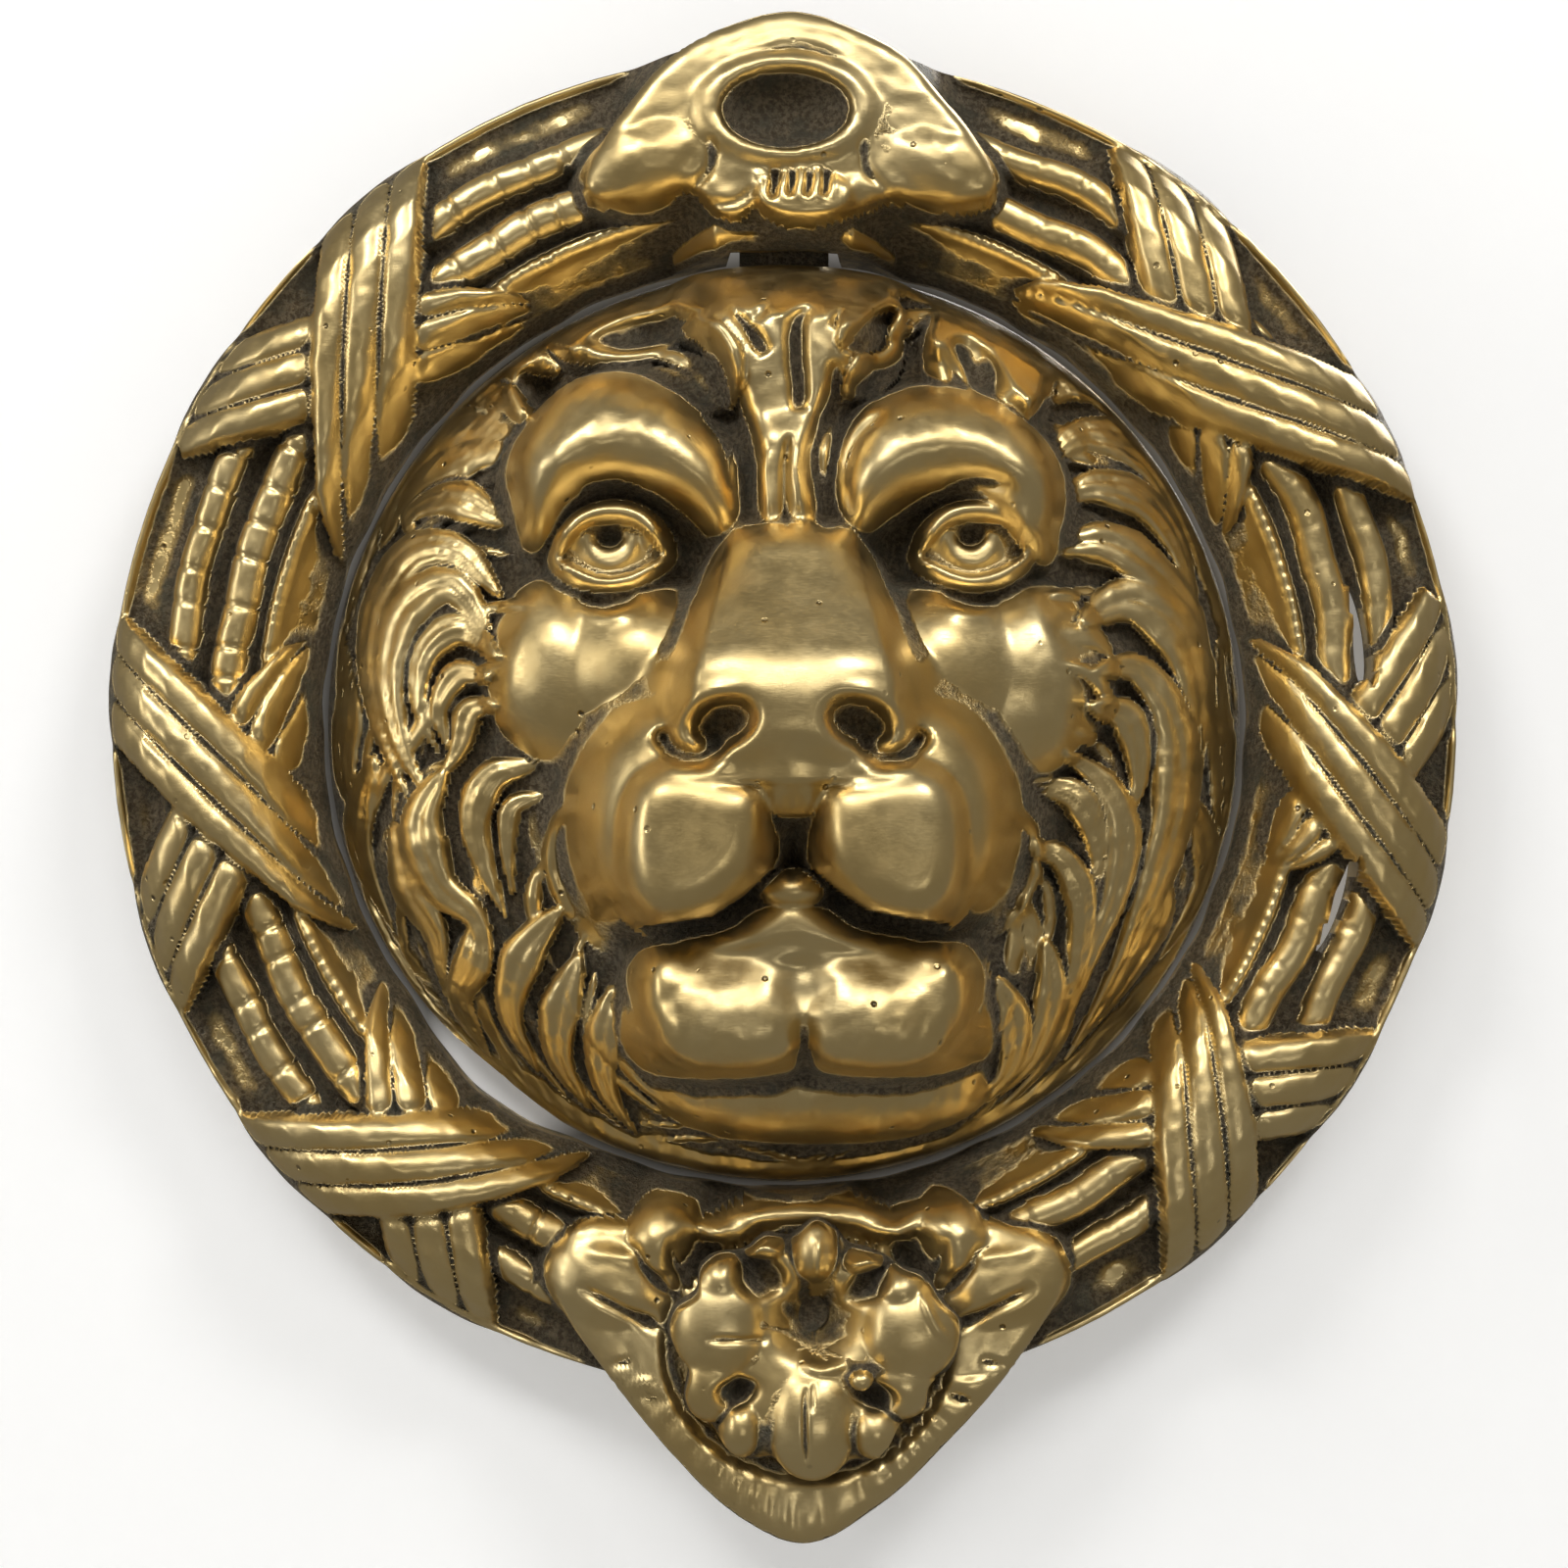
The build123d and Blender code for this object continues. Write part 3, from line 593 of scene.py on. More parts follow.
def carve_head():
    """The whole front of the mask, from its big masses to the finest lines."""
    u, v = disc_places(HEAD_GRID)
    turned = np.degrees(np.arctan2(v, u)) - CRESCENT_ANGLE
    size = HEAD_R - 1.3 * np.exp(-((turned / 11) ** 2)) * step(0.7, 1, np.hypot(u, v))
    s = Sheet(u * size, v * size)
    face_mass(s)
    r = np.hypot(s.x, s.z)
    base = s.h - 0.8
    s.h -= 2 * step(35, 40, r) * step(61, 57, r)
    under_hair(s, base)
    for locks in (LEFT_LOCKS, RIGHT_LOCKS, TOP_LOCKS):
        for path, width, rise, lines in locks:
            s.lock(base, path, width * LOCK_WIDTH, rise, lines + 1, groove=0.5)
    ears(s)
    for outline in (LEFT_BROW, RIGHT_BROW):
        s.dome(outline, 30.5, 44.5, 12, 3, 3.4, (0.34, 31.5))
    bridge(s)
    muzzle(s)
    mouth_and_chin(s)
    eyes(s)
    nose_detail(s)
    forehead_lines(s)
    for path in ([(-25, -11), (-29.4, -12.8), (-30.4, -19), (-27.8, -26)],
                 [(27.6, -11), (32, -13.6), (32.8, -20), (29.8, -27)]):
        s.ridge(path, 0.9, 2)
    s.groove([(2.4, -37), (2.7, -40.5), (3, -46)], 1.5, 2.6, 0.4)
    shell = np.interp(r, [44, 52, 57, 60.4, 61.9, 62.6], [60, 31, 22, 12, 6.5, 4])
    brow_shell = np.interp(r, [44, 52, 56, 59, 61, 61.7, 62.6], [60, 36, 29, 23, 17, 10, 4])
    forelock = step(19, 12, np.abs(s.x - FACE_MIDDLE)) * (s.z > 0)
    s.h = smooth_min(s.h, shell * (1 - forelock) + brow_shell * forelock, 1.5)
    wear = np.random.default_rng(12).normal(size=s.h.shape)
    s.h += (0.22 * blur(wear, 1.2, s.wrap) + 0.5 * blur(wear, 3, s.wrap)) * step(26, 44, r)
    rim = step(HEAD_R - 0.6, HEAD_R, r)
    s.h = s.h * (1 - rim) + HEAD_RIM * rim
    return s


def face_polish(s):
    """Where the wheel polished the mask's smooth middle."""
    wide = np.exp(-(((s.x - FACE_MIDDLE) / 38) ** 4) - ((s.z - 2) / 48) ** 4)
    middle = np.exp(-(((s.x - FACE_MIDDLE) / 31) ** 4) - (s.z / 30) ** 4)
    return 0.36 * wide + 0.16 * middle


def head_back(x, z):
    """Depth of the hollow behind the mask."""
    r = np.hypot(x, z)
    bowl = np.interp(r, [0, 38, 50.5, 55.4, 56.2, 70], [20, 16, 10, 3.6, 0, 0])
    muzzle_r = np.hypot(x - 0.5, z + 4)
    return np.maximum(bowl, np.interp(muzzle_r, [0, 6, 11, 16, 17.5], [42, 41, 36, 24, 0]))


def disc_shell(sheet, back_height, wall_rows, floor=0):
    """Closes a disc relief with a back at half its resolution. Returns points and faces."""
    n = sheet.x.shape[0] - 1
    half = n // 2
    front, rear = front_and_rear(sheet, back_height)
    i, j = squares(n, n)
    a = (i * (n + 1) + j).ravel()
    faces = np.stack([a, a + n + 1, a + n + 2, a + 1], 1).tolist()
    i, j = squares(half, half)
    a = (i * (half + 1) + j).ravel() + len(front)
    faces += np.stack([a, a + 1, a + half + 2, a + half + 1], 1).tolist()
    loop = edge_loop(n)
    top = loop[:, 0] * (n + 1) + loop[:, 1]
    loop = loop[::2] // 2
    bottom = loop[:, 0] * (half + 1) + loop[:, 1] + len(front)
    wall, sides = side_wall(front, top, -floor, bottom, wall_rows, len(front) + len(rear), True)
    return np.vstack([front, rear, *wall]), faces + sides


def lion_head():
    """The mask, with its hollow back."""
    s = carve_head()
    shell = disc_shell(s, head_back(s.x[::2, ::2], s.z[::2, ::2]), 3)
    patina_and_shade = np.clip(recess_of(s) - face_polish(s), 0, 1)
    return casting("lion_mask_casting", "lion_head", shell, patina_and_shade, 0.85, "lion_mask")


# ---------------------------------------------------------------- the wreath

WREATH_TURN = 1000       # squares round the wreath
WREATH_ACROSS = 66       # squares from its inner edge to its outer edge
RING_OUTER = 90          # radii of the plain ring
RING_INNER = 63.1
RIBBON_WIDTH = 13.5
NOTCH_PITCH = 5.4        # distance between the notches cut in the reeds
TOP_SHIELD = (
    (-26, 70), (-24, 75), (-20, 81), (-15, 86.5), (-8, 90.4), (0.5, 92.6), (8, 90.8), (15.5, 87), (21, 81),
    (25, 76), (27.6, 71), (26.6, 68), (21, 67.4), (14, 68.4), (9.6, 66.6), (6.6, 65.4), (3, 65), (0, 65.6),
    (-2.6, 67.6), (-6, 65.8), (-9, 66.6), (-12.4, 69.6), (-18, 68.6), (-24, 67.8),
)
BOTTOM_SHIELD = (
    (-28.6, -67), (-25, -65.4), (-19.6, -65.6), (-15, -64.6), (-9.6, -65.4), (-5, -63.8), (2, -62.8),
    (9, -63.2), (14.4, -64.8), (19.6, -63.2), (23.4, -65), (29, -66), (36.4, -69), (36, -76), (29, -86.4),
    (20, -96.4), (12.5, -103.2), (3, -108.2), (-6, -104.6), (-14, -97.2), (-22.6, -86.8), (-30, -76),
    (-29.6, -71),
)
CROSSINGS = (            # outer and inner end of the lower ribbon, then of the upper one
    ((-76, 43.6), (-36.1, 55.2), (-54.7, 70.5), (-58, 23)),
    ((51.5, 71), (58, 26.8), (79, 38.4), (33.5, 56.5)),
    ((-83, -30), (-64.5, 9), (-88.5, 5.9), (-57.5, -25.7)),
    ((87.5, 9.8), (66.6, -17.7), (87, -22.8), (62.4, 9.8)),
    ((-45.4, -77), (-52.2, -34.3), (-69, -58.8), (-24.8, -55)),
    ((76, -47.6), (33.5, -53), (57.7, -73.5), (53.6, -33)),
)
BOTTOM_MIDDLE = 3        # x of the middle of the bottom boss
SLOTS = ((3.5, 14), (-23, -13))    # where the slots cast through the ring start and end, in degrees
SLOT_RADIUS = 77.7
SLOT_HALF = 1          # half the width of a slot in its middle
SLOT_CELLS = 1.35        # squares whose middle is this near the slot's line are left out


def reach(outline, angles, start, stop):
    """How far out along each ray an outline still holds the ray, searched between two radii."""
    radii = np.linspace(start, stop, 200)
    x = radii[:, None] * np.cos(angles)
    z = radii[:, None] * np.sin(angles)
    within, _ = inside(x, z, outline)
    hit = within.any(0)
    return hit, np.where(within, radii[:, None], -1e9).max(0), np.where(within, radii[:, None], 1e9).min(0)


def degrees_from(middle, degrees):
    """How far round from one direction others are, from -180 to 180."""
    return (degrees - middle + 180) % 360 - 180


def wreath_edges(angles):
    """The wreath's inner and outer radius at each angle, bosses and ribbons included."""
    degrees = np.degrees(angles)
    outer = RING_OUTER - 0.5 * np.sin(np.radians(3 * degrees + 20)) ** 2
    gap = 1.7 * np.exp(-((degrees_from(CRESCENT_ANGLE, degrees) / 9) ** 2))
    inner = RING_INNER + gap + 0.12 * np.sin(angles * 23) + 0.10 * np.sin(angles * 41 + 1)
    for outline in (TOP_SHIELD, BOTTOM_SHIELD):
        hit, far, near = reach(rounded(outline), angles, 58, 112)
        outer = np.where(hit, smooth_max(outer, far, 0.8), outer)
        near = np.maximum(near - 0.5, HEAD_R + 0.5)
        inner = np.where(hit, smooth_min(inner, near, 0.5), inner)
    for low_outer, _, high_outer, _ in CROSSINGS:
        for x, z in (low_outer, high_outer):
            away = degrees_from(math.degrees(math.atan2(z, x)), degrees)
            outer = outer + 0.85 * np.exp(-((away / 4.4) ** 4)) * (np.abs(away) < 9)
    return [blur(np.repeat(edge[:, None], 9, 1), 1.6, (True, True))[:, 4] for edge in (inner, outer)]


def ring_section(r):
    """Height of the plain casting across the ring, from the inner edge to the outer one."""
    radii = [62.8, 64.6, 67.6, 68.4, 69.4, 70.2, 71.6, 80.3, 85.6, 88, 88.8, 89.4, 89.8, 91]
    heights = [5, 10, 15.6, 18, 18.2, 16.4, 13.4, 13.8, 13.2, 12.8, 13.2, 15, 14.4, 12]
    return np.interp(r, radii, heights)


def notches(angle, radius, seed):
    """1 on the reed's lobes, 0 in the cuts between them, with cuts a little unevenly spaced."""
    rng = np.random.default_rng(seed)
    count = int(2 * math.pi * radius / NOTCH_PITCH)
    cuts = (np.arange(count) + rng.uniform(-0.22, 0.22, count)) * 2 * math.pi / count
    depth = rng.uniform(0.5, 1, count)
    index = np.searchsorted(cuts, angle % (2 * math.pi))
    cut = np.zeros_like(angle)
    for k in (-1, 0):
        which = (index + k) % count
        gap = (angle - cuts[which] + math.pi) % (2 * math.pi) - math.pi
        cut = np.maximum(cut, depth[which] * np.exp(-((gap * radius / 0.36) ** 2)))
    return 1 - cut * (0.25 + 0.75 * step(0.9, 1.6, np.abs(angle)))


def reeds(s):
    """Two notched reeds round the ring, waving a little, and the fine beaded rim inside them."""
    r = np.hypot(s.x, s.z)
    angle = np.arctan2(s.z, s.x)
    for radius, top, half, seed in ((81.1, 18, 2.1, 3), (74.1, 19.2, 2.3, 4)):
        waves = 1 + 0.9 * step(1.6, 0.9, np.abs(angle))
        middle = radius + waves * (0.25 * np.sin(angle * 11 + seed) + 0.16 * np.sin(angle * 31 + 2 * seed))
        lobes = notches(angle, radius, seed)
        width = half * (0.90 + 0.10 * lobes)
        u = (r - middle) / width
        bead = top - 2.2 + 2.2 * np.sqrt(np.clip(1 - u * u, 0, 1)) - 0.7 * (1 - lobes)
        bead = np.where(np.abs(u) < 1, bead, top - 2.2 - (np.abs(u) - 1) * 9)
        s.h = smooth_max(s.h, bead, 0.7)
    fine = notches(angle, 69.4, 5)
    beads = 0.5 * np.abs(np.sin(angle * 150 + 2 * np.sin(angle * 11))) ** 0.7
    s.h += np.exp(-(((r - 69.6) / 0.9) ** 2)) * (beads - 0.35 * (1 - fine))


def wrap_height(r, lift):
    """Height of a ribbon pulled over the reeds."""
    radii = [63, 65, 67, 68.6, 71, 74, 77.5, 81, 84.5, 87, 89, 90.2, 91.2]
    heights = [6, 12, 16.6, 18.8, 20.2, 21.2, 21.7, 21.4, 20, 17.6, 14.6, 11.6, 8]
    return np.interp(r, radii, heights) + lift


def ribbon(s, outer, inner, lift, seed):
    """A ribbon of three strands, wide on the outside of the ring and tapering inwards."""
    rng = np.random.default_rng(seed)
    run = np.subtract(inner, outer)
    length = float(np.hypot(*run))
    along_axis = run / length
    across = np.array([-along_axis[1], along_axis[0]])
    dx = s.x - outer[0]
    dz = s.z - outer[1]
    t = (dx * along_axis[0] + dz * along_axis[1]) / length
    u = dx * across[0] + dz * across[1]
    u = u - 1.4 * np.sin(t * math.pi) * rng.uniform(-1, 1)
    half = RIBBON_WIDTH / 2 * np.interp(t, [-0.1, 0.1, 0.5, 0.85, 1, 1.06], [1, 1.04, 1, 0.72, 0.4, 0.12])
    v = np.clip(u / half, -2, 2)
    r = np.hypot(s.x, s.z)
    strands = np.abs(np.cos(1.5 * math.pi * v)) ** 0.55
    edges = np.interp(np.abs(v), [0, 0.86, 1], [1, 1, 0.35])
    crease = 0.45 * sum(np.exp(-(((v - place) / 0.05) ** 2)) for place in (-0.33, 0.36))
    top = wrap_height(r, lift) + 1.25 * strands * edges - 0.9 + 0.55 * (1 - v * v) - crease
    inside_it = (np.abs(v) < 1) & (t > -0.16) & (t < 1.06)
    end = np.clip((1.06 - t) / 0.10, 0, 1) ** 0.5
    top = np.where(inside_it, top - 3 * (1 - end), FAR_BELOW)
    s.h = np.where(top > s.h - 0.4, smooth_max(s.h, top, 0.35), s.h)
    # A dark seam where the ribbon lies on what is below it.
    seam = np.exp(-(((np.abs(v) - 1.06) * half / 0.7) ** 2)) * (t > -0.1) * (t < 1)
    s.h -= 0.5 * seam


def shield(s, outline, top, fall):
    """A flat-topped boss with its own outline and a rounded edge, fall high."""
    within, away = inside(s.x, s.z, rounded(outline))
    edge = np.clip(away / fall, 0, 1)
    face = top - fall * (1 - np.sqrt(np.clip(1 - (1 - edge) ** 2, 0, 1)))
    outside = top - fall - 14 * away
    s.h = np.where(within, np.maximum(s.h, face), smooth_max(s.h, outside, 0.4))
    return within, away


def top_boss(s):
    """The shield over the hinge: a dished oval in a raised lip, wings, and a small toothed leaf."""
    r = np.hypot(s.x, s.z)
    drum = np.where(np.abs(s.x) < 15, 22 - np.maximum(np.abs(s.x) - 9, 0) * 1.6, FAR_BELOW)
    drum = drum - np.clip((66 - r) / 4.4, 0, 1) ** 3 * 14
    s.h = smooth_max(s.h, np.where(s.z > 0, drum, FAR_BELOW), 1)
    shield(s, TOP_SHIELD, 28.2, 2.4)
    s.ball((0.5, 79), (18.5, 13.5, 9), 30.4, blend=1.4)
    s.ball((-17.5, 73.5), (8.6, 5.4, 6), 29.8, turn=20, blend=1.2)
    s.ball((19.5, 73), (8, 5, 6), 29.8, turn=-16, blend=1.2)
    s.groove([(-12.4, 69), (-9.6, 72), (-9.4, 76)], 0.7, 1.1)
    s.groove([(13.4, 68.8), (10.6, 72), (10.4, 76)], 0.7, 0.9)
    u = (s.x - 0.2) / 9.1
    v = (s.z - 79.4) / 5.5
    q = np.sqrt(u * u + v * v)
    bowl = 24.6 + 1 * np.clip(q, 0, 1) ** 2 + 4.4 * np.clip(q, 0, 1) ** 6
    s.h = np.where(q < 1, np.minimum(s.h, bowl), s.h)
    s.h += 0.6 * np.exp(-(((q - 1.14) / 0.14) ** 2)) - 0.2 * np.exp(-(((q - 1.42) / 0.1) ** 2))
    tool = np.sin(np.arctan2(v, u) * 26 + 3 * np.sin(9 * np.arctan2(v, u)))
    s.h += np.where(q < 0.9, 0.13 * tool * np.clip(q, 0.1, 1), 0)
    s.groove([(-4, 86.6), (2, 87.6), (8, 86)], 0.5, 0.4)
    s.ball((2.6, 68.6), (6.4, 3.6, 4), 31, blend=0.8)
    s.ridge([(-3.4, 71.6), (-2.6, 67), (2.6, 65.4), (7.6, 66.6), (9, 71)], 0.9, 1.2, 0.2)
    for k in range(4):
        x = -1 + 2.2 * k
        s.groove([(x, 71.6), (x - 0.2, 69.6), (x - 0.6, 67.6)], 0.55, 2.8, 0.3)
    s.groove([(-11, 67.6), (-6.6, 67.4), (-3.4, 69.6)], 0.5, 0.9)


def bottom_boss(s):
    """The pointed shield behind the rosette: scalloped top, side leaves, fluted lower rim."""
    within, away = shield(s, BOTTOM_SHIELD, 22.4, 2.2)
    strokes = (          # path from the middle, width and depth of the cuts in each side leaf
        (((18, -80), (24, -77), (30, -73.6)), 0.8, 1.5),
        (((16.6, -76), (20, -73), (23, -68)), 0.7, 1.5),
        (((14.6, -75), (17, -72), (18.2, -67)), 0.55, 1),
    )
    for side in (-1, 1):
        s.ball((BOTTOM_MIDDLE + side * 26, -73.5), (9, 7, 6), 24.6, turn=side * 20, blend=1.2)
        s.ball((BOTTOM_MIDDLE + side * 19, -68), (5.5, 5, 6), 25.4, turn=side * -30, blend=0.8)
        for path, width, depth in strokes:
            s.groove(placed(path, BOTTOM_MIDDLE, side=side), width, depth)
        s.hollow((BOTTOM_MIDDLE + side * 14.6, -70), (3.4, 3.2), 2.8, turn=side * 30, power=1.6)
        s.ridge(placed(((14, -74), (22, -70.4), (30, -69)), BOTTOM_MIDDLE, side=side), 0.8, 0.6)
        for k in range(2):
            nick = ((26.4 - 4 * k, -84.6 - 4.6 * k), (22.6 - 4 * k, -83.6 - 4.6 * k))
            s.groove(placed(nick, BOTTOM_MIDDLE, side=side), 0.45, 1, 0.4)
    s.ridge([(-12.6, -66.4), (-7, -67), (-3, -65.2), (3, -64.6), (9, -65.4), (13, -66.8), (18, -66)],
            1.1, 2.2, 0.15)
    for k in range(16):
        x = -6.5 + 1.25 * k
        z = -66.6 - 0.016 * (x - BOTTOM_MIDDLE) ** 2
        s.groove([(x, z), (x * 0.94 + 0.2, z - 3.2)], 0.32, 0.6, 0.3)
    band = np.exp(-(((away - 3.4) / 2.6) ** 2)) * within * (s.z < -86)
    angle = np.arctan2(s.z + 76, s.x - BOTTOM_MIDDLE)
    flutes = np.abs(np.sin(angle * 24 + 1.5 * np.sin(angle * 7))) ** 0.7
    s.h += band * (0.9 * flutes - 0.2)
    turns = np.linspace(0, 2 * math.pi, 40, endpoint=False)
    round_it = [(BOTTOM_MIDDLE + 19.6 * math.cos(a), -81.5 + 18.6 * math.sin(a)) for a in turns]
    moat, moat_away = inside(s.x, s.z, round_it)
    s.h = np.where(moat, s.h - 1.7 * np.clip(moat_away / 1.4, 0, 1), s.h)


def carve_wreath():
    """The whole front of the wreath."""
    angles = np.linspace(0, 2 * math.pi, WREATH_TURN, endpoint=False)
    inner, outer = wreath_edges(angles)
    t = np.linspace(0, 1, WREATH_ACROSS + 1)[None, :]
    r = inner[:, None] * (1 - t) + outer[:, None] * t
    s = Sheet(r * np.cos(angles)[:, None], r * np.sin(angles)[:, None], wrap=(True, False))
    s.h = ring_section(r)
    reeds(s)
    for k, (low_outer, low_inner, high_outer, high_inner) in enumerate(CROSSINGS):
        ribbon(s, low_outer, low_inner, 0, 20 + k)
        ribbon(s, high_outer, high_inner, 1.5, 40 + k)
    top_boss(s)
    bottom_boss(s)
    wear = np.random.default_rng(11).normal(size=s.h.shape)
    s.h += 0.30 * blur(wear, 3, s.wrap) + 0.16 * blur(wear[::-1], 1.2, s.wrap)
    return s


def slot_cells(s):
    """Which squares of the wreath are missing where the casting is open right through."""
    x = (s.x[:, :-1] + s.x[:, 1:]) / 2
    z = (s.z[:, :-1] + s.z[:, 1:]) / 2
    x = (x + np.roll(x, -1, 0)) / 2
    z = (z + np.roll(z, -1, 0)) / 2
    radius = np.hypot(x, z)
    degrees = np.degrees(np.arctan2(z, x))
    gone = np.zeros(x.shape, bool)
    for start, end in SLOTS:
        u = (degrees - (start + end) / 2) / ((end - start) / 2)
        width = SLOT_CELLS * np.sqrt(np.clip(1 - u * u, 0, 1))
        gone |= (np.abs(radius - SLOT_RADIUS) < width) & (np.abs(u) < 1)
    return gone


def wreath_back(x, z, front):
    """Height of the hollow back of the wreath, kept under the front."""
    r = np.hypot(x, z)
    back = np.interp(r, [0, 67.6, 70.4, 86, 87.4, 88.4, 120], [4, 4, 11.4, 11, 9.4, 4, 4])
    shield_core, depth_in = inside(x, z, rounded(BOTTOM_SHIELD))
    core = 4 + 13 * step(2.2, 4.6, depth_in) * shield_core
    seat = step(10.6, 9, np.hypot(x - BOTTOM_MIDDLE, z + 77.5))
    back = np.where(shield_core, core * (1 - seat) + 10.4 * seat, back)
    top_core, top_in = inside(x, z, rounded(TOP_SHIELD))
    back = np.where(top_core, 4 + 17 * step(1.4, 3, top_in), back)
    channel = (np.abs(x) < 7.4) & (z > 0)
    back = np.where(channel & (r < 68.5), 15.4, back)
    back = np.where(channel & (r >= 68.5) & (z < 90.9), 21, back)
    return np.minimum(back, front - 1.3)


def band_shell(s, back_height, gone, wall_rows):
    """Closes a relief that runs round a ring, with a back at half its resolution and open slots."""
    turn, across = s.x.shape[0], s.x.shape[1] - 1
    half_turn, half_across = turn // 2, across // 2
    front, rear = front_and_rear(s, back_height)
    verts = [front, rear]

    def f(i, j):
        return (i % turn) * (across + 1) + j

    def b(i, j):
        return len(front) + (i % half_turn) * (half_across + 1) + j

    i, j = squares(turn, across)
    keep = ~gone[i // 2, j // 2]
    i, j = i[keep], j[keep]
    faces = np.stack([f(i, j), f(i, j + 1), f(i + 1, j + 1), f(i + 1, j)], 1).tolist()
    i, j = squares(half_turn, half_across)
    i, j = i[~gone], j[~gone]
    faces += np.stack([b(i, j), b(i + 1, j), b(i + 1, j + 1), b(i, j + 1)], 1).tolist()
    start = len(front) + len(rear)
    for edge, flip in ((0, False), (across, True)):
        foot = -np.repeat(back_height[:, edge // 2], 2)
        rear_loop = b(np.arange(half_turn), edge // 2)
        wall, sides = side_wall(front, f(np.arange(turn), edge), foot, rear_loop, wall_rows, start, flip)
        verts += wall
        faces += sides
        start += len(wall) * turn
    for i, j in zip(*np.nonzero(gone)):
        sides = (
            ((i - 1) % half_turn, j, (0, 0), (0, 1)),
            ((i + 1) % half_turn, j, (1, 1), (1, 0)),
            (i, j - 1, (1, 0), (0, 0)),
            (i, j + 1, (0, 1), (1, 1)),
        )
        for next_i, next_j, (pi, pj), (qi, qj) in sides:
            if gone[next_i, next_j]:
                continue
            fine = (f(2 * i + k * qi + (2 - k) * pi, 2 * j + k * qj + (2 - k) * pj) for k in range(3))
            faces += halve_edge(*fine, b(i + pi, j + pj), b(i + qi, j + qj))
    return np.vstack(verts), faces


def round_the_slots(s, gone):
    """Moves the places along each slot's sides onto its true outline."""
    radius = np.hypot(s.x, s.z)
    angle = np.arctan2(s.z, s.x)
    for i, j in zip(*np.nonzero(gone)):
        for side, row in ((-1, j), (1, j + 1)):
            if gone[i, j + side]:
                continue
            rows = (np.arange(2 * i, 2 * i + 3) % s.x.shape[0], 2 * row)
            degrees = np.degrees(angle[rows])
            start, end = min(SLOTS, key=lambda slot: abs(sum(slot) / 2 - degrees[1]))
            u = np.clip((degrees - (start + end) / 2) / ((end - start) / 2), -0.97, 0.97)
            radius[rows] = SLOT_RADIUS + side * SLOT_HALF * np.sqrt(1 - u * u)
    s.x = radius * np.cos(angle)
    s.z = radius * np.sin(angle)


def wreath_inner_shade_and_dark_dish(s):
    """Painted shade on the wreath's inner wall, beside the gap round the mask, and a darker dish in its top
    boss.
    """
    r = np.hypot(s.x, s.z)
    dish = np.hypot(s.x / 9, (s.z - 79.4) / 5.6)
    # The first term is painted shade on the inner wall; the second makes the dish darker.
    return 0.30 * step(68.4, 66, r) + 0.45 * step(1, 0.7, dish)


def wreath():
    """The ring with its two bosses, its hollow back and its open slots."""
    s = carve_wreath()
    gone = slot_cells(Sheet(s.x[::2, ::2], s.z[::2, ::2]))
    round_the_slots(s, gone)
    back = wreath_back(s.x[::2, ::2], s.z[::2, ::2], s.h[::2, ::2])
    patina_and_shade = np.clip(recess_of(s) + wreath_inner_shade_and_dark_dish(s), 0, 1)
    return casting("wreath_casting", "wreath_ring", band_shell(s, back, gone, 3), patina_and_shade, 0.75,
                   "wreath_knocker")


# ---------------------------------------------------------------- the rosette

ROSETTE_CENTRE = (4, -81.5)
ROSETTE_GRID = 132
ROSETTE_FLOOR = 20.6
ROSETTE_OUTLINE = (
    (4, -64.6), (0.9, -67.2), (-2.5, -66.9), (-5.2, -69), (-9, -69.6), (-11.2, -71.4), (-11.6, -74.4),
    (-14.4, -76.4), (-15.4, -79.3), (-14.4, -82.2), (-12.7, -84.6), (-13.2, -88.2), (-12.2, -90.8),
    (-9.6, -92.2), (-7.6, -95.2), (-4.6, -96.7), (-1.4, -96.6), (0.6, -98.4), (4, -99.3), (7.2, -98.2),
    (9, -97), (11.8, -96.8), (14, -94.2), (15.4, -92), (18.6, -90.2), (19.3, -86.6), (22, -84.8),
    (23.3, -82), (23.4, -78.2), (20.6, -75.3), (18.6, -72.4), (15.6, -71.4), (13.4, -70), (10.6, -68.8),
    (8.4, -68.2), (6.6, -66),
)

ROSETTE_LOBES = (        # x, z, half width, half height and top of each swelling
    (-8.4, -78.5, 6.4, 7.6, 29.6), (-9.4, -85.8, 4.4, 5.6, 28.6), (16.2, -79.4, 6.6, 6.8, 29.6),
    (15.4, -86, 4.4, 5, 28.6), (3.6, -91, 6, 8, 29.4), (-5.6, -91.8, 3, 4.2, 28.6),
    (11.8, -92.2, 3.3, 4, 28.6), (4, -69, 3, 4.6, 29.6), (-8.2, -72.6, 3.6, 3.4, 28.8),
    (15, -73.8, 3.6, 3, 28.8), (-2.6, -68.6, 2.8, 1.9, 28.2), (10.2, -70.4, 2.8, 1.9, 28.2),
)


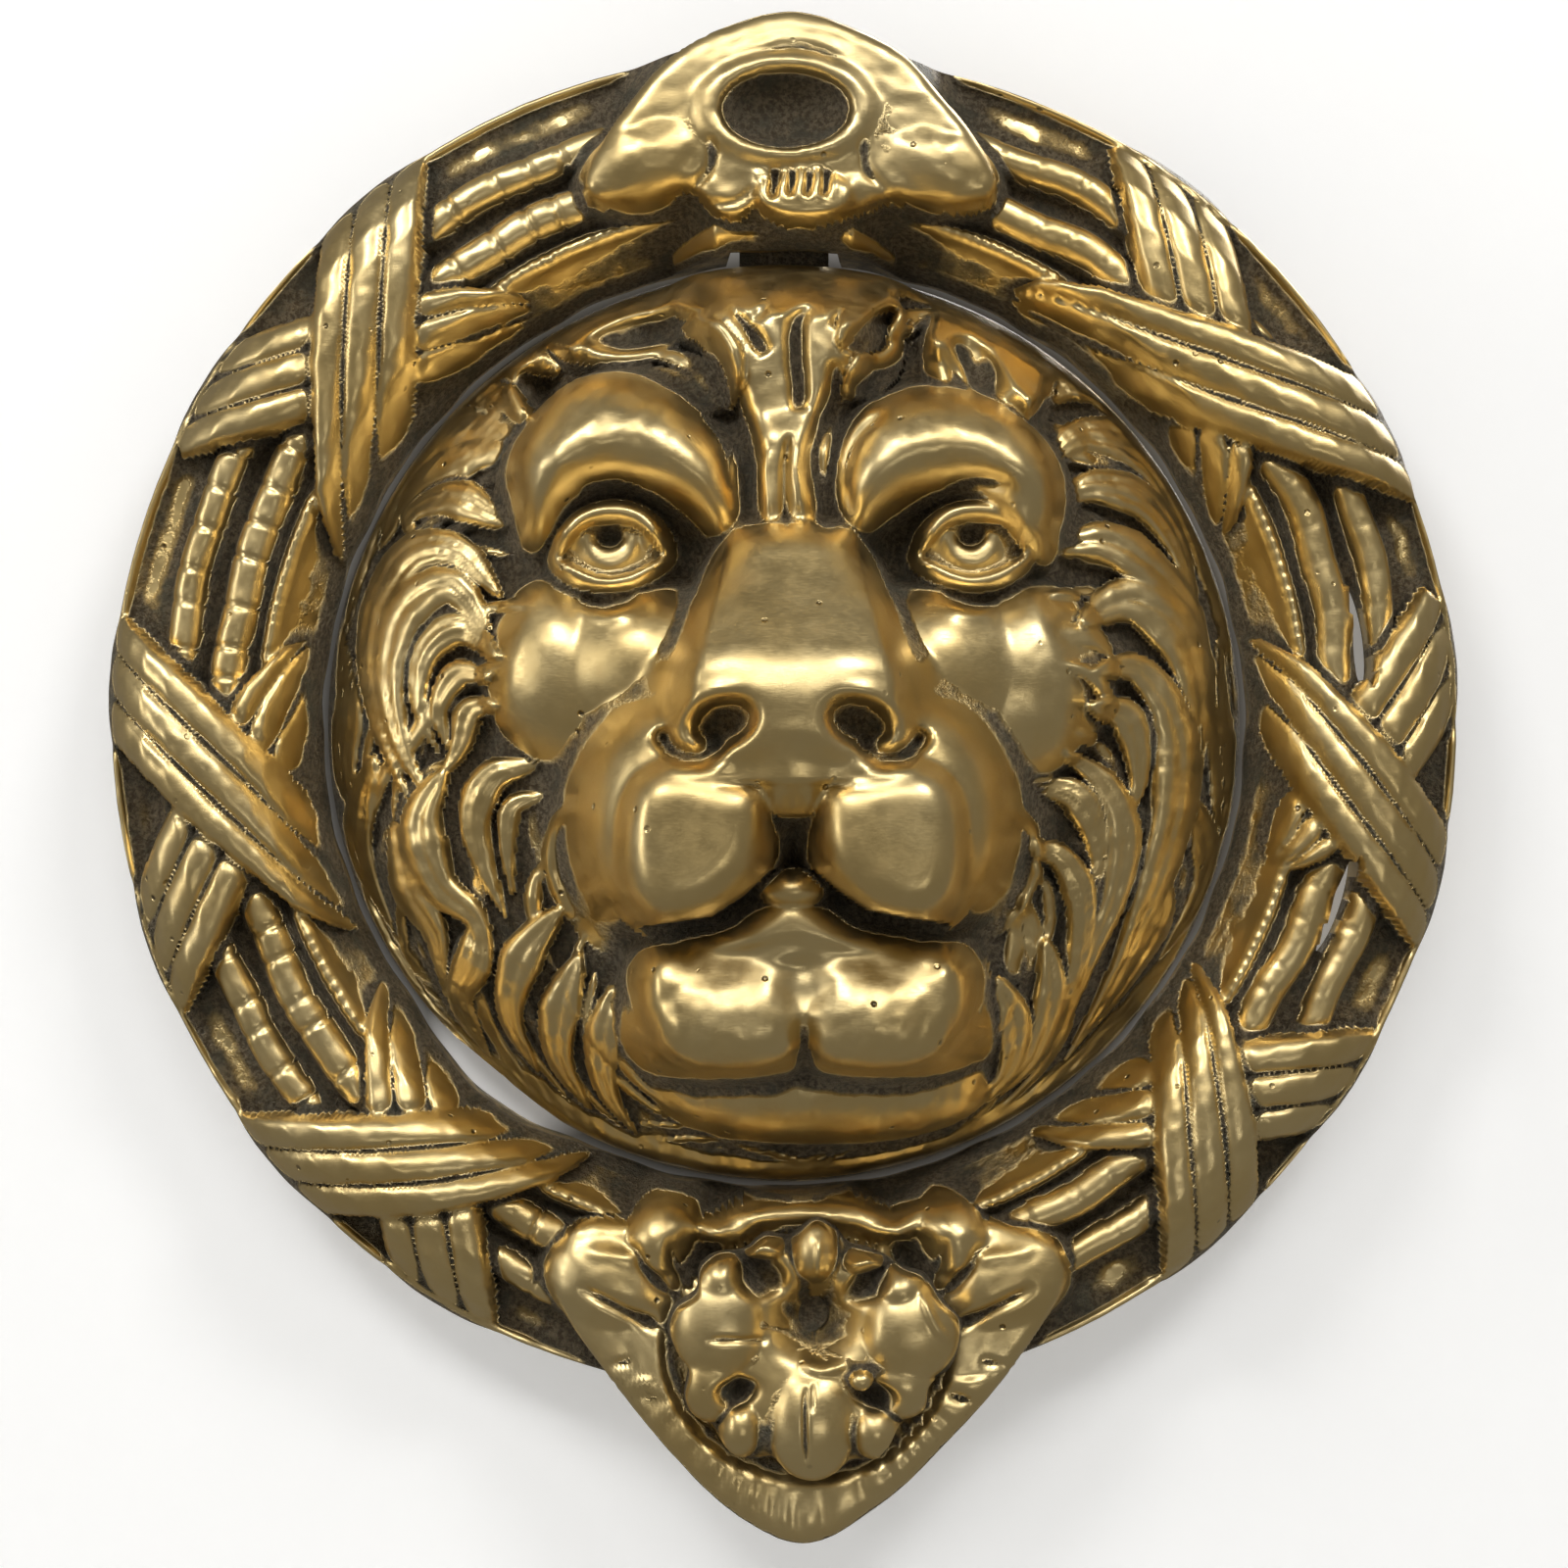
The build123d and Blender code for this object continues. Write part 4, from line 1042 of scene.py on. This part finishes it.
def rosette():
    """The five-lobed flower on the bottom boss, with a hole where the hammer's end shows."""
    u, v = disc_places(ROSETTE_GRID)
    angle = np.arctan2(v, u)
    line = rounded(ROSETTE_OUTLINE, 6)
    line_angle = np.arctan2(line[:, 1] - ROSETTE_CENTRE[1], line[:, 0] - ROSETTE_CENTRE[0])
    order = np.argsort(line_angle)
    away = np.hypot(line[:, 0] - ROSETTE_CENTRE[0], line[:, 1] - ROSETTE_CENTRE[1])
    size = np.interp(angle, line_angle[order], away[order], period=2 * math.pi)
    s = Sheet(ROSETTE_CENTRE[0] + u * size, ROSETTE_CENTRE[1] + v * size)
    rho = np.hypot(u, v)
    s.h = 27.6 - 5 * rho**7 - 0.8 * rho
    for x, z, across, up, top in ROSETTE_LOBES:
        s.ball((x, z), (across, up, 4.6), top, blend=0.7)
    s.hollow((4, -77.8), (5, 4.8), 7, power=1.3)
    s.hollow((4, -77.8), (1.2, 1.2), 2.5, power=1.6)
    s.hollow((-2.8, -72.2), (3.2, 2.4), 3.6, turn=-20, power=1.7)
    s.hollow((10.8, -73.2), (3, 1.7), 3, turn=38, power=1.7)
    s.hollow((-6.2, -87), (2.5, 1.7), 3, turn=10, power=1.7)
    s.hollow((11.9, -87.6), (2.6, 1.6), 3, turn=-8, power=1.7)
    s.groove([(-10.2, -79.8), (-6, -79.9), (-2, -80.4)], 0.5, 0.8)
    s.groove([(2.8, -86), (2.7, -91), (2.9, -96)], 0.35, 0.9)
    s.groove([(3.8, -85.6), (3.7, -89.4)], 0.3, 0.5)
    s.ridge([(2, -83.2), (5, -84), (8.2, -83.2)], 0.8, 1.1)
    s.ridge([(17.6, -73.4), (19.4, -77.6), (21.6, -80.6)], 0.6, 0.8)
    s.ridge([(1, -70), (-2.6, -67.9), (-5.4, -70.4)], 0.6, 0.8)
    s.ridge([(8, -70.8), (11, -69.8), (13.6, -71.6)], 0.6, 0.8)
    s.ridge([(4.6, -66.4), (4.4, -70), (4.2, -72.6)], 0.5, 0.6)
    s.ball((10, -85.2), (1.5, 1.3, 1.4), 30, blend=0.5)
    rim = step(0.965, 1, rho)
    s.h = s.h * (1 - rim) + (ROSETTE_FLOOR + 1) * rim
    shell = disc_shell(s, np.full(s.x[::2, ::2].shape, ROSETTE_FLOOR), 2, ROSETTE_FLOOR)
    return casting("rosette_casting", "rosette", shell, recess_of(s), 0.8, "wreath_knocker")


# ---------------------------------------------------------------- hinge, bosses and fixings



def middle(node):
    """The middle of a CAD node's box at rest, in millimetres."""
    low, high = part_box(node)
    return [round((a + b) / 2 / MM, 2) for a, b in zip(low, high)]


STUDS = ("upper_fixing_stud", "lower_fixing_stud")
STUD_ZS = [middle(name)[2] for name in STUDS]
HINGE_Y, HINGE_Z = middle("hinge_pin")[1:]
HAMMER_X, _, HAMMER_Z = middle("strike_button")
LATHE_SIDES = 48
PEEN_Y = -12           # the hammer's stem is tarnished in front of this, where it ends in the rosette


def finish_mesh(bm, name, body, bevel=0):
    """Rounds a bmesh's sharp edges by bevel, if there is one, and makes it a piece."""
    if bevel:
        sharp = [e for e in bm.edges if e.calc_face_angle() > math.radians(35)]
        bmesh.ops.bevel(bm, geom=sharp, offset=bevel * MM, segments=3, profile=0.6, affect="EDGES",
                        clamp_overlap=True)
    bmesh.ops.recalc_face_normals(bm, faces=bm.faces)
    mesh = bpy.data.meshes.new(name)
    bm.to_mesh(mesh)
    bm.free()
    obj = as_piece(mesh, body)
    mesh.set_sharp_from_angle(angle=math.radians(40))
    return obj


def lug(bm, profile, x_low, x_high):
    """A solid with a (y, z) outline, reaching from one x to another."""
    verts = [bm.verts.new((x_low * MM, y * MM, z * MM)) for y, z in profile]
    face = bm.faces.new(verts)
    top = bmesh.ops.extrude_face_region(bm, geom=[face])["geom"]
    moved = [g for g in top if isinstance(g, bmesh.types.BMVert)]
    bmesh.ops.translate(bm, verts=moved, vec=((x_high - x_low) * MM, 0, 0))


def arc(centre, radius, start, end, count):
    """Points (y, z) along an arc, angles in degrees from +y towards +z."""
    return [
        (centre[0] + radius * math.cos(math.radians(a)), centre[1] + radius * math.sin(math.radians(a)))
        for a in np.linspace(start, end, count)
    ]


def hinge_tongue():
    """The lug on top of the mask, with its rounded eye round the pin."""
    bm = bmesh.new()
    eye = arc((HINGE_Y, HINGE_Z), 6, -20, 195, 19)
    lug(bm, [(-6, 78), *eye, (-12.6, 76), (-12.6, 62), (-14.4, 56), (-14.6, 50), (-3, 50),
             (-3.2, 58), (-5.6, 63)], -6, 6)
    tongue = finish_mesh(bm, "hinge_tongue", "lion_mask", 0.7)
    # Painted shade: the whole tongue takes the darkest patina colour, standing for the shadow under the top
    # boss.
    mark_patina_and_shade(tongue, np.full(len(tongue.data.vertices), 0.95))
    return tongue


def hinge_ears():
    """The two lugs inside the wreath's top boss that hold the ends of the pin."""
    bm = bmesh.new()
    for side in (-1, 1):
        profile = [(-23, HINGE_Z + 4.6), (-23, HINGE_Z - 6.4), *arc((HINGE_Y, HINGE_Z), 5.4, -95, 85, 15)]
        low, high = sorted((side * 6.6, side * 11.6))
        lug(bm, profile, low, high)
    return finish_mesh(bm, "wreath_hinge_ears", "wreath_knocker", 0.5)


def lathe(bm, profile, x, z, thread=None):
    """A turned solid about the line through (x, z) along y, from (radius, y) pairs.

    thread is where a helix starts and ends, its pitch and its depth."""
    rings = []
    for radius, y in profile:
        ring = []
        for k in range(LATHE_SIDES):
            a = 2 * math.pi * k / LATHE_SIDES
            r = radius
            if thread and thread[0] < y < thread[1]:
                phase = (y / thread[2] - k / LATHE_SIDES) % 1
                r = radius - thread[3] * abs(2 * phase - 1)
            ring.append(bm.verts.new(((x + r * math.cos(a)) * MM, y * MM, (z + r * math.sin(a)) * MM)))
        rings.append(ring)
    for low, high in zip(rings[:-1], rings[1:]):
        for k in range(LATHE_SIDES):
            after = (k + 1) % LATHE_SIDES
            bm.faces.new((low[k], low[after], high[after], high[k]))
    bm.faces.new(rings[0])
    bm.faces.new(rings[-1])


def fixing_studs():
    """The two M6 studs, with the thread cut on the end that takes the nut."""
    pitch = 1
    start, end = 40.4, 57.2
    rows = int((end - start) / (pitch / 7))
    for z, name in zip(STUD_ZS, STUDS):
        bm = bmesh.new()
        profile = [(2.4, -13.5), (2.6, -13), (2.6, -2), (3, -2), (3, 39.6), (2.7, 40)]
        profile += [(2.95, float(y)) for y in np.linspace(start, end, rows)]
        profile += [(2.3, 57.6), (2, 58)]
        lathe(bm, profile, 0, z, (start - 0.1, end + 0.1, pitch, 0.5))
        stud = finish_mesh(bm, name + "_turned", "lion_mask")
        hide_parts(name)
        yield stud


def hammer_piece():
    """The hammer: its knob behind the wreath, and its peened end sunk in the rosette's middle."""
    bm = bmesh.new()
    profile = [(0.5, -20.9), (1.5, -21.2), (2.6, -21.5), (3, -21), (3, -10), (7.3, -10), (7.8, -9.7),
               (8, -9.2), (7.9, -8.2), (7, -6.9), (5.6, -6.2), (4.6, -6)]
    lathe(bm, profile, HAMMER_X, HAMMER_Z)
    hammer = finish_mesh(bm, "hammer_turned", "wreath_knocker")
    mark_patina_and_shade(hammer, [1 if v.co.y < PEEN_Y * MM else 0.2 for v in hammer.data.vertices])
    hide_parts("hammer_stud")
    return hammer


def mask_stud_bosses():
    """Two round pillars inside the mask that the studs screw into."""
    bm = bmesh.new()
    for z in STUD_ZS:
        lathe(bm, [(8.6, -17), (7.6, -12), (7.2, -3.2), (6.8, -2.4), (6.2, -2), (3.3, -2)], 0, z)
    return finish_mesh(bm, "mask_stud_bosses", "lion_mask")


# ---------------------------------------------------------------- materials


class Nodes:
    """Short calls for building a material's nodes."""

    def __init__(self, name):
        self.material = bpy.data.materials.new(name)
        self.material.use_nodes = True
        self.tree = self.material.node_tree
        self.shader = self.tree.nodes["Principled BSDF"]

    def add(self, kind, **settings):
        node = self.tree.nodes.new(kind)
        for key, value in settings.items():
            setattr(node, key, value)
        return node

    def link(self, source, target):
        self.tree.links.new(source, target)

    def noise(self, scale, detail=4.0, rough=0.55, distort=0.0, stretch=None):
        """Noise over the object's own coordinates, which are metres."""
        place = self.add("ShaderNodeTexCoord").outputs["Object"]
        if stretch:
            mapping = self.add("ShaderNodeMapping")
            mapping.inputs["Scale"].default_value = stretch
            self.link(place, mapping.inputs["Vector"])
            place = mapping.outputs["Vector"]
        node = self.add("ShaderNodeTexNoise")
        node.inputs["Scale"].default_value = scale
        node.inputs["Detail"].default_value = detail
        node.inputs["Roughness"].default_value = rough
        node.inputs["Distortion"].default_value = distort
        self.link(place, node.inputs["Vector"])
        return node.outputs["Fac"]

    def pits(self, scale, low, high):
        """Small round pits: 1 inside a pit, 0 elsewhere."""
        place = self.add("ShaderNodeTexCoord").outputs["Object"]
        cells = self.add("ShaderNodeTexVoronoi")
        cells.inputs["Scale"].default_value = scale
        self.link(place, cells.inputs["Vector"])
        return self.ramp(cells.outputs["Distance"], low, high, 1.0, 0.0)

    def ramp(self, value, low, high, at_low=0.0, at_high=1.0):
        """A smooth step from one value to another, clamped at both ends."""
        node = self.add("ShaderNodeMapRange", interpolation_type="SMOOTHSTEP")
        for key, number in (("From Min", low), ("From Max", high), ("To Min", at_low), ("To Max", at_high)):
            node.inputs[key].default_value = number
        self.link(value, node.inputs["Value"])
        return node.outputs["Result"]

    def feed(self, slot, value):
        """Sets a number or a colour on an input, or links another node's output to it."""
        if isinstance(value, tuple):
            slot.default_value = (*value, 1.0)
        elif isinstance(value, (int, float)):
            slot.default_value = value
        else:
            self.link(value, slot)

    def math(self, operation, a, b):
        node = self.add("ShaderNodeMath", operation=operation)
        self.feed(node.inputs[0], a)
        self.feed(node.inputs[1], b)
        return node.outputs["Value"]

    def mix(self, factor, a, b):
        """Mixes two colours."""
        node = self.add("ShaderNodeMix", data_type="RGBA")
        for slot, value in ((0, factor), (6, a), (7, b)):
            self.feed(node.inputs[slot], value)
        return node.outputs[2]

    def bump(self, height, strength, distance, before=None):
        """A normal from a height, laid over an earlier normal if there is one."""
        node = self.add("ShaderNodeBump")
        node.inputs["Strength"].default_value = strength
        node.inputs["Distance"].default_value = distance
        self.link(height, node.inputs["Height"])
        if before is not None:
            self.link(before, node.inputs["Normal"])
        return node.outputs["Normal"]

    def finish(self, colour, roughness, metallic, normal):
        for key, value in (("Base Color", colour), ("Roughness", roughness), ("Metallic", metallic),
                           ("Normal", normal)):
            self.feed(self.shader.inputs[key], value)
        return self.material


BRASS_WARM = (0.74, 0.555, 0.245)
BRASS_PALE = (0.80, 0.635, 0.325)
BRASS_COPPER = (0.66, 0.42, 0.19)
PATINA_DARK = (0.095, 0.080, 0.058)
PATINA_BROWN = (0.155, 0.120, 0.080)
PATINA_GREEN = (0.150, 0.155, 0.120)
PATINA_TAN = (0.36, 0.30, 0.20)


def cast_brass(name, seed, patina_shift=0.0):
    """Sand-cast brass: buffed bright where a wheel reaches, dark, grainy and pitted where it does not, and
    dark too where a piece carries painted shade.
    """
    n = Nodes(name)
    # The stored value is patina in the recesses, with painted shade added on the hinge tongue and the
    # wreath's inner wall.
    patina_and_shade = n.add("ShaderNodeAttribute", attribute_name="patina_and_shade").outputs["Fac"]
    patches = n.noise(38 + seed, 5, 0.6)
    mottle = n.noise(210 + seed, 6, 0.65)
    grain = n.noise(1500 + seed, 5, 0.7)
    sand = n.noise(3600 + seed, 3, 0.6)
    spread = n.math("MULTIPLY", n.math("SUBTRACT", mottle, 0.5), 0.55)
    broad = n.math("MULTIPLY", n.math("SUBTRACT", patches, 0.5), 0.35)
    mask = n.math("ADD", n.math("ADD", patina_and_shade, spread), n.math("ADD", broad, patina_shift))
    dark = n.ramp(mask, 0.52, 0.80)
    deep = n.ramp(mask, 0.80, 1.20, 0.0, 0.6)
    bright = n.mix(n.ramp(patches, 0.35, 0.68), BRASS_WARM, BRASS_PALE)
    bright = n.mix(n.ramp(mottle, 0.56, 0.78, 0.0, 0.2), bright, BRASS_COPPER)
    tarnish_and_shade = n.mix(n.ramp(grain, 0.40, 0.60), PATINA_BROWN, PATINA_TAN)
    tarnish_and_shade = n.mix(n.ramp(mottle, 0.45, 0.72, 0.0, 0.7), tarnish_and_shade, PATINA_GREEN)
    tarnish_and_shade = n.mix(deep, tarnish_and_shade, PATINA_DARK)
    colour = n.mix(dark, bright, tarnish_and_shade)
    pits = n.pits(260 + seed, 0.05, 0.13)
    pit_here = n.math("MULTIPLY", pits, n.ramp(n.noise(90 + seed, 2), 0.50, 0.64))
    colour = n.mix(n.math("MULTIPLY", pit_here, 0.85), colour, PATINA_DARK)
    scratches = n.noise(900 + seed, 3, 0.6, 0.4, (1.0, 1.0, 9.0))
    buffed = n.ramp(mottle, 0.3, 0.7, 0.28, 0.41)
    rough_bright = n.math("ADD", buffed, n.ramp(scratches, 0.45, 0.7, 0.0, 0.09))
    rough = n.add("ShaderNodeMix", data_type="FLOAT")
    n.link(dark, rough.inputs[0])
    n.link(rough_bright, rough.inputs[2])
    rough.inputs[3].default_value = 0.46
    metal = n.ramp(mask, 0.60, 1.00, 1.0, 0.50)
    cast = n.math("ADD", n.math("MULTIPLY", grain, 0.7), n.math("MULTIPLY", sand, 0.3))
    rough_height = n.math("MULTIPLY", cast, dark)
    normal = n.bump(rough_height, 1.0, 0.0022)
    normal = n.bump(n.noise(60 + seed, 3, 0.5), 0.30, 0.0016, normal)
    normal = n.bump(n.math("MULTIPLY", pit_here, -1.0), 0.8, 0.0005, normal)
    normal = n.bump(scratches, 0.06, 0.0002, normal)
    return n.finish(colour, rough.outputs[0], metal, normal)


def turned_metal(name, pale, dull, roughness):
    """Turned or rolled metal: fine rings from the tool, light stains, dark specks."""
    n = Nodes(name)
    rings = n.noise(2600, 3, 0.6, 0.0, (0.05, 1.0, 0.05))
    stain = n.noise(160, 5, 0.65)
    specks = n.pits(700, 0.04, 0.10)
    colour = n.mix(n.ramp(stain, 0.38, 0.70), pale, dull)
    colour = n.mix(n.math("MULTIPLY", specks, 0.5), colour, PATINA_DARK)
    rough = n.math("ADD", n.ramp(stain, 0.3, 0.7, roughness, roughness + 0.16),
                   n.ramp(rings, 0.4, 0.7, 0.0, 0.08))
    normal = n.bump(rings, 0.25, 0.0002)
    normal = n.bump(stain, 0.12, 0.0004, normal)
    return n.finish(colour, rough, 1.0, normal)


def give(obj, material):
    """Puts one material on an object, in every slot it has."""
    if not obj.data.materials:
        obj.data.materials.append(material)
    for k in range(len(obj.data.materials)):
        obj.data.materials[k] = material


def dress(pieces):
    """Gives every piece and every CAD node that shows its metal."""
    metals = {
        "mask": cast_brass("cast_brass_mask", 0),
        "wreath": cast_brass("cast_brass_wreath", 3, -0.05),
        "rosette": cast_brass("cast_brass_rosette", 6, 0.02),
        "turned": turned_metal("turned_brass", (0.80, 0.57, 0.25), (0.56, 0.37, 0.15), 0.22),
        "steel": turned_metal("zinc_steel", (0.62, 0.63, 0.64), (0.42, 0.41, 0.38), 0.30),
    }
    for metal, objects in pieces.items():
        for obj in objects:
            give(obj, metals[metal])


# ---------------------------------------------------------------- stage, light and camera

CAMERA_Y = -0.450
CAMERA_Z = -0.008
FIELD_WIDTH = 0.2118     # width of the view, measured FIELD_AHEAD in front of the door
FIELD_AHEAD = 0.010
SENSOR = 36.0
FLOOR_Z = -0.165
FLOOR_SIZE = 6.0
WALL_SIZE = 0.50         # the piece of wall behind the knocker, square
PAINTED_SHADE_R = 0.0655        # painted shade: the wall is painted dark inside this, where the mask would keep the light off it
PAINTED_LIT_SPOT_R = 0.063       # how far out the painted lit spot in that painted shade is
# Painted shade: the dark colour painted on the wall behind the mask.
WALL_PAINTED_SHADE = (0.20, 0.19, 0.17)
WALL_WHITE = (0.90, 0.90, 0.90)


def stage_plane(name, size, place, turn, material):
    mesh = bpy.data.meshes.new(name)
    half = size / 2
    corners = [(-half, -half, 0), (half, -half, 0), (half, half, 0), (-half, half, 0)]
    mesh.from_pydata(corners, [], [(0, 1, 2, 3)])
    obj = bpy.data.objects.new(name, mesh)
    obj.location = place
    obj.rotation_euler = turn
    mesh.materials.append(material)
    bpy.context.scene.collection.objects.link(obj)
    obj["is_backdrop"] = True
    return obj


def one_sided_white_with_painted_shade():
    """Pale plaster seen from the front, with painted shade behind the mask, and clear as glass from behind.

    A painted lit spot in that painted shade shows through the widest part of the gap round the mask. Outside
    the painted shade the plaster glows a little, as painted light."""
    n = Nodes("pale_wall")
    n.shader.inputs["Roughness"].default_value = 0.9
    n.shader.inputs["Emission Color"].default_value = (1.0, 1.0, 1.0, 1.0)
    place = n.add("ShaderNodeTexCoord").outputs["Object"]

    def from_point(x, y, near, far):
        distance = n.add("ShaderNodeVectorMath", operation="DISTANCE")
        n.link(place, distance.inputs[0])
        distance.inputs[1].default_value = (x, y, 0.0)
        return n.ramp(distance.outputs["Value"], near, far)

    angle = math.radians(CRESCENT_ANGLE)
    # Painted shade with a painted lit spot: dark inside the disc behind the mask, light again at the spot by
    # the gap's widest part.
    off_painted_lit_spot = from_point(PAINTED_LIT_SPOT_R * math.cos(angle), PAINTED_LIT_SPOT_R * math.sin(angle), 0.006, 0.016)
    outside = from_point(0.0, 0.0, PAINTED_SHADE_R - 0.004, PAINTED_SHADE_R + 0.003)
    painted_lit_wall = n.math("MAXIMUM", outside, n.math("SUBTRACT", 1.0, off_painted_lit_spot))
    # Painted shade in the base colour, and painted light in the glow: both are on where the wall is left pale
    # and off inside the painted shade.
    n.link(n.mix(painted_lit_wall, WALL_PAINTED_SHADE, WALL_WHITE), n.shader.inputs["Base Color"])
    n.link(n.math("MULTIPLY", painted_lit_wall, 0.20), n.shader.inputs["Emission Strength"])
    clear = n.add("ShaderNodeBsdfTransparent")
    chooser = n.add("ShaderNodeMixShader")
    n.link(n.add("ShaderNodeNewGeometry").outputs["Backfacing"], chooser.inputs[0])
    n.link(n.shader.outputs[0], chooser.inputs[1])
    n.link(clear.outputs[0], chooser.inputs[2])
    n.link(chooser.outputs[0], n.tree.nodes["Material Output"].inputs["Surface"])
    return n.material


def pale_floor():
    """The same pale finish on the floor, with faint clouds in it."""
    n = Nodes("pale_floor")
    n.shader.inputs["Roughness"].default_value = 0.7
    n.link(n.mix(n.noise(6, 3), (0.60, 0.60, 0.59), (0.64, 0.64, 0.63)), n.shader.inputs["Base Color"])
    return n.material


def softbox(name, place, target, width, height, power):
    """A rectangular lamp that faces its target."""
    data = bpy.data.lights.new(name, "AREA")
    data.shape = "RECTANGLE"
    data.size = width
    data.size_y = height
    data.energy = power
    obj = bpy.data.objects.new(name, data)
    obj.location = place
    aim = Vector(target) - Vector(place)
    obj.rotation_euler = aim.to_track_quat("-Z", "Y").to_euler()
    bpy.context.scene.collection.objects.link(obj)


def set_stage():
    """A pale wall and floor, soft light from above and both sides, and a lamp for the back view."""
    wall = stage_plane("backdrop", WALL_SIZE, (0, 0, 0), (math.radians(90), 0, 0), one_sided_white_with_painted_shade())
    wall.visible_shadow = False
    wall.visible_glossy = False
    floor = stage_plane("floor", FLOOR_SIZE, (0, 0, FLOOR_Z), (0, 0, 0), pale_floor())
    floor.visible_glossy = False
    world = bpy.data.worlds.new("studio")
    bpy.context.scene.world = world
    world.use_nodes = True
    background = world.node_tree.nodes["Background"]
    background.inputs["Color"].default_value = (0.95, 0.90, 0.80, 1.0)
    background.inputs["Strength"].default_value = 0.20
    softbox("key_left", (-0.42, -0.62, 0.62), (0, 0, 0), 0.26, 0.20, 2.6)
    softbox("key_right", (0.40, -0.60, 0.66), (0, 0, 0), 0.26, 0.20, 2.6)
    softbox("ceiling_strip", (-0.05, -0.85, 0.55), (0, -0.02, 0), 0.60, 0.10, 1.8)
    softbox("side_strip", (-0.85, -0.35, 0.10), (0, -0.02, 0), 0.10, 0.50, 1.2)
    softbox("low_fill", (0.25, -0.95, -0.30), (0, 0, 0), 0.5, 0.16, 0.5)
    softbox("behind", (0.5, 0.9, 0.6), (0, 0, 0), 0.8, 0.5, 8.0)


def set_camera():
    """Looks straight at the knocker from the front."""
    data = bpy.data.cameras.new("camera")
    data.sensor_width = SENSOR
    data.lens = SENSOR * (-CAMERA_Y - FIELD_AHEAD) / FIELD_WIDTH
    data.clip_start = 0.01
    camera = bpy.data.objects.new("camera", data)
    camera.location = (0, CAMERA_Y, CAMERA_Z)
    camera.rotation_euler = (math.radians(90), 0, 0)
    bpy.context.scene.collection.objects.link(camera)
    bpy.context.scene.camera = camera


def build():
    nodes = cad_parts
    washers_and_nuts = [nodes[name] for name in nodes if name.endswith(("_washer", "_nut"))]
    dress({
        "mask": [lion_head(), hinge_tongue(), mask_stud_bosses()],
        "wreath": [wreath(), hinge_ears(), hammer_piece()],
        "rosette": [rosette()],
        "turned": [nodes["strike_button"], nodes["hinge_pin"]],
        "steel": [*fixing_studs(), *washers_and_nuts],
    })
    set_stage()
    set_camera()
    bpy.context.scene.view_settings.view_transform = "Standard"


build()
bpy.context.view_layer.update()
[[list(map(float, corner)) for corner in box] for box in (cad_box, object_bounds())]
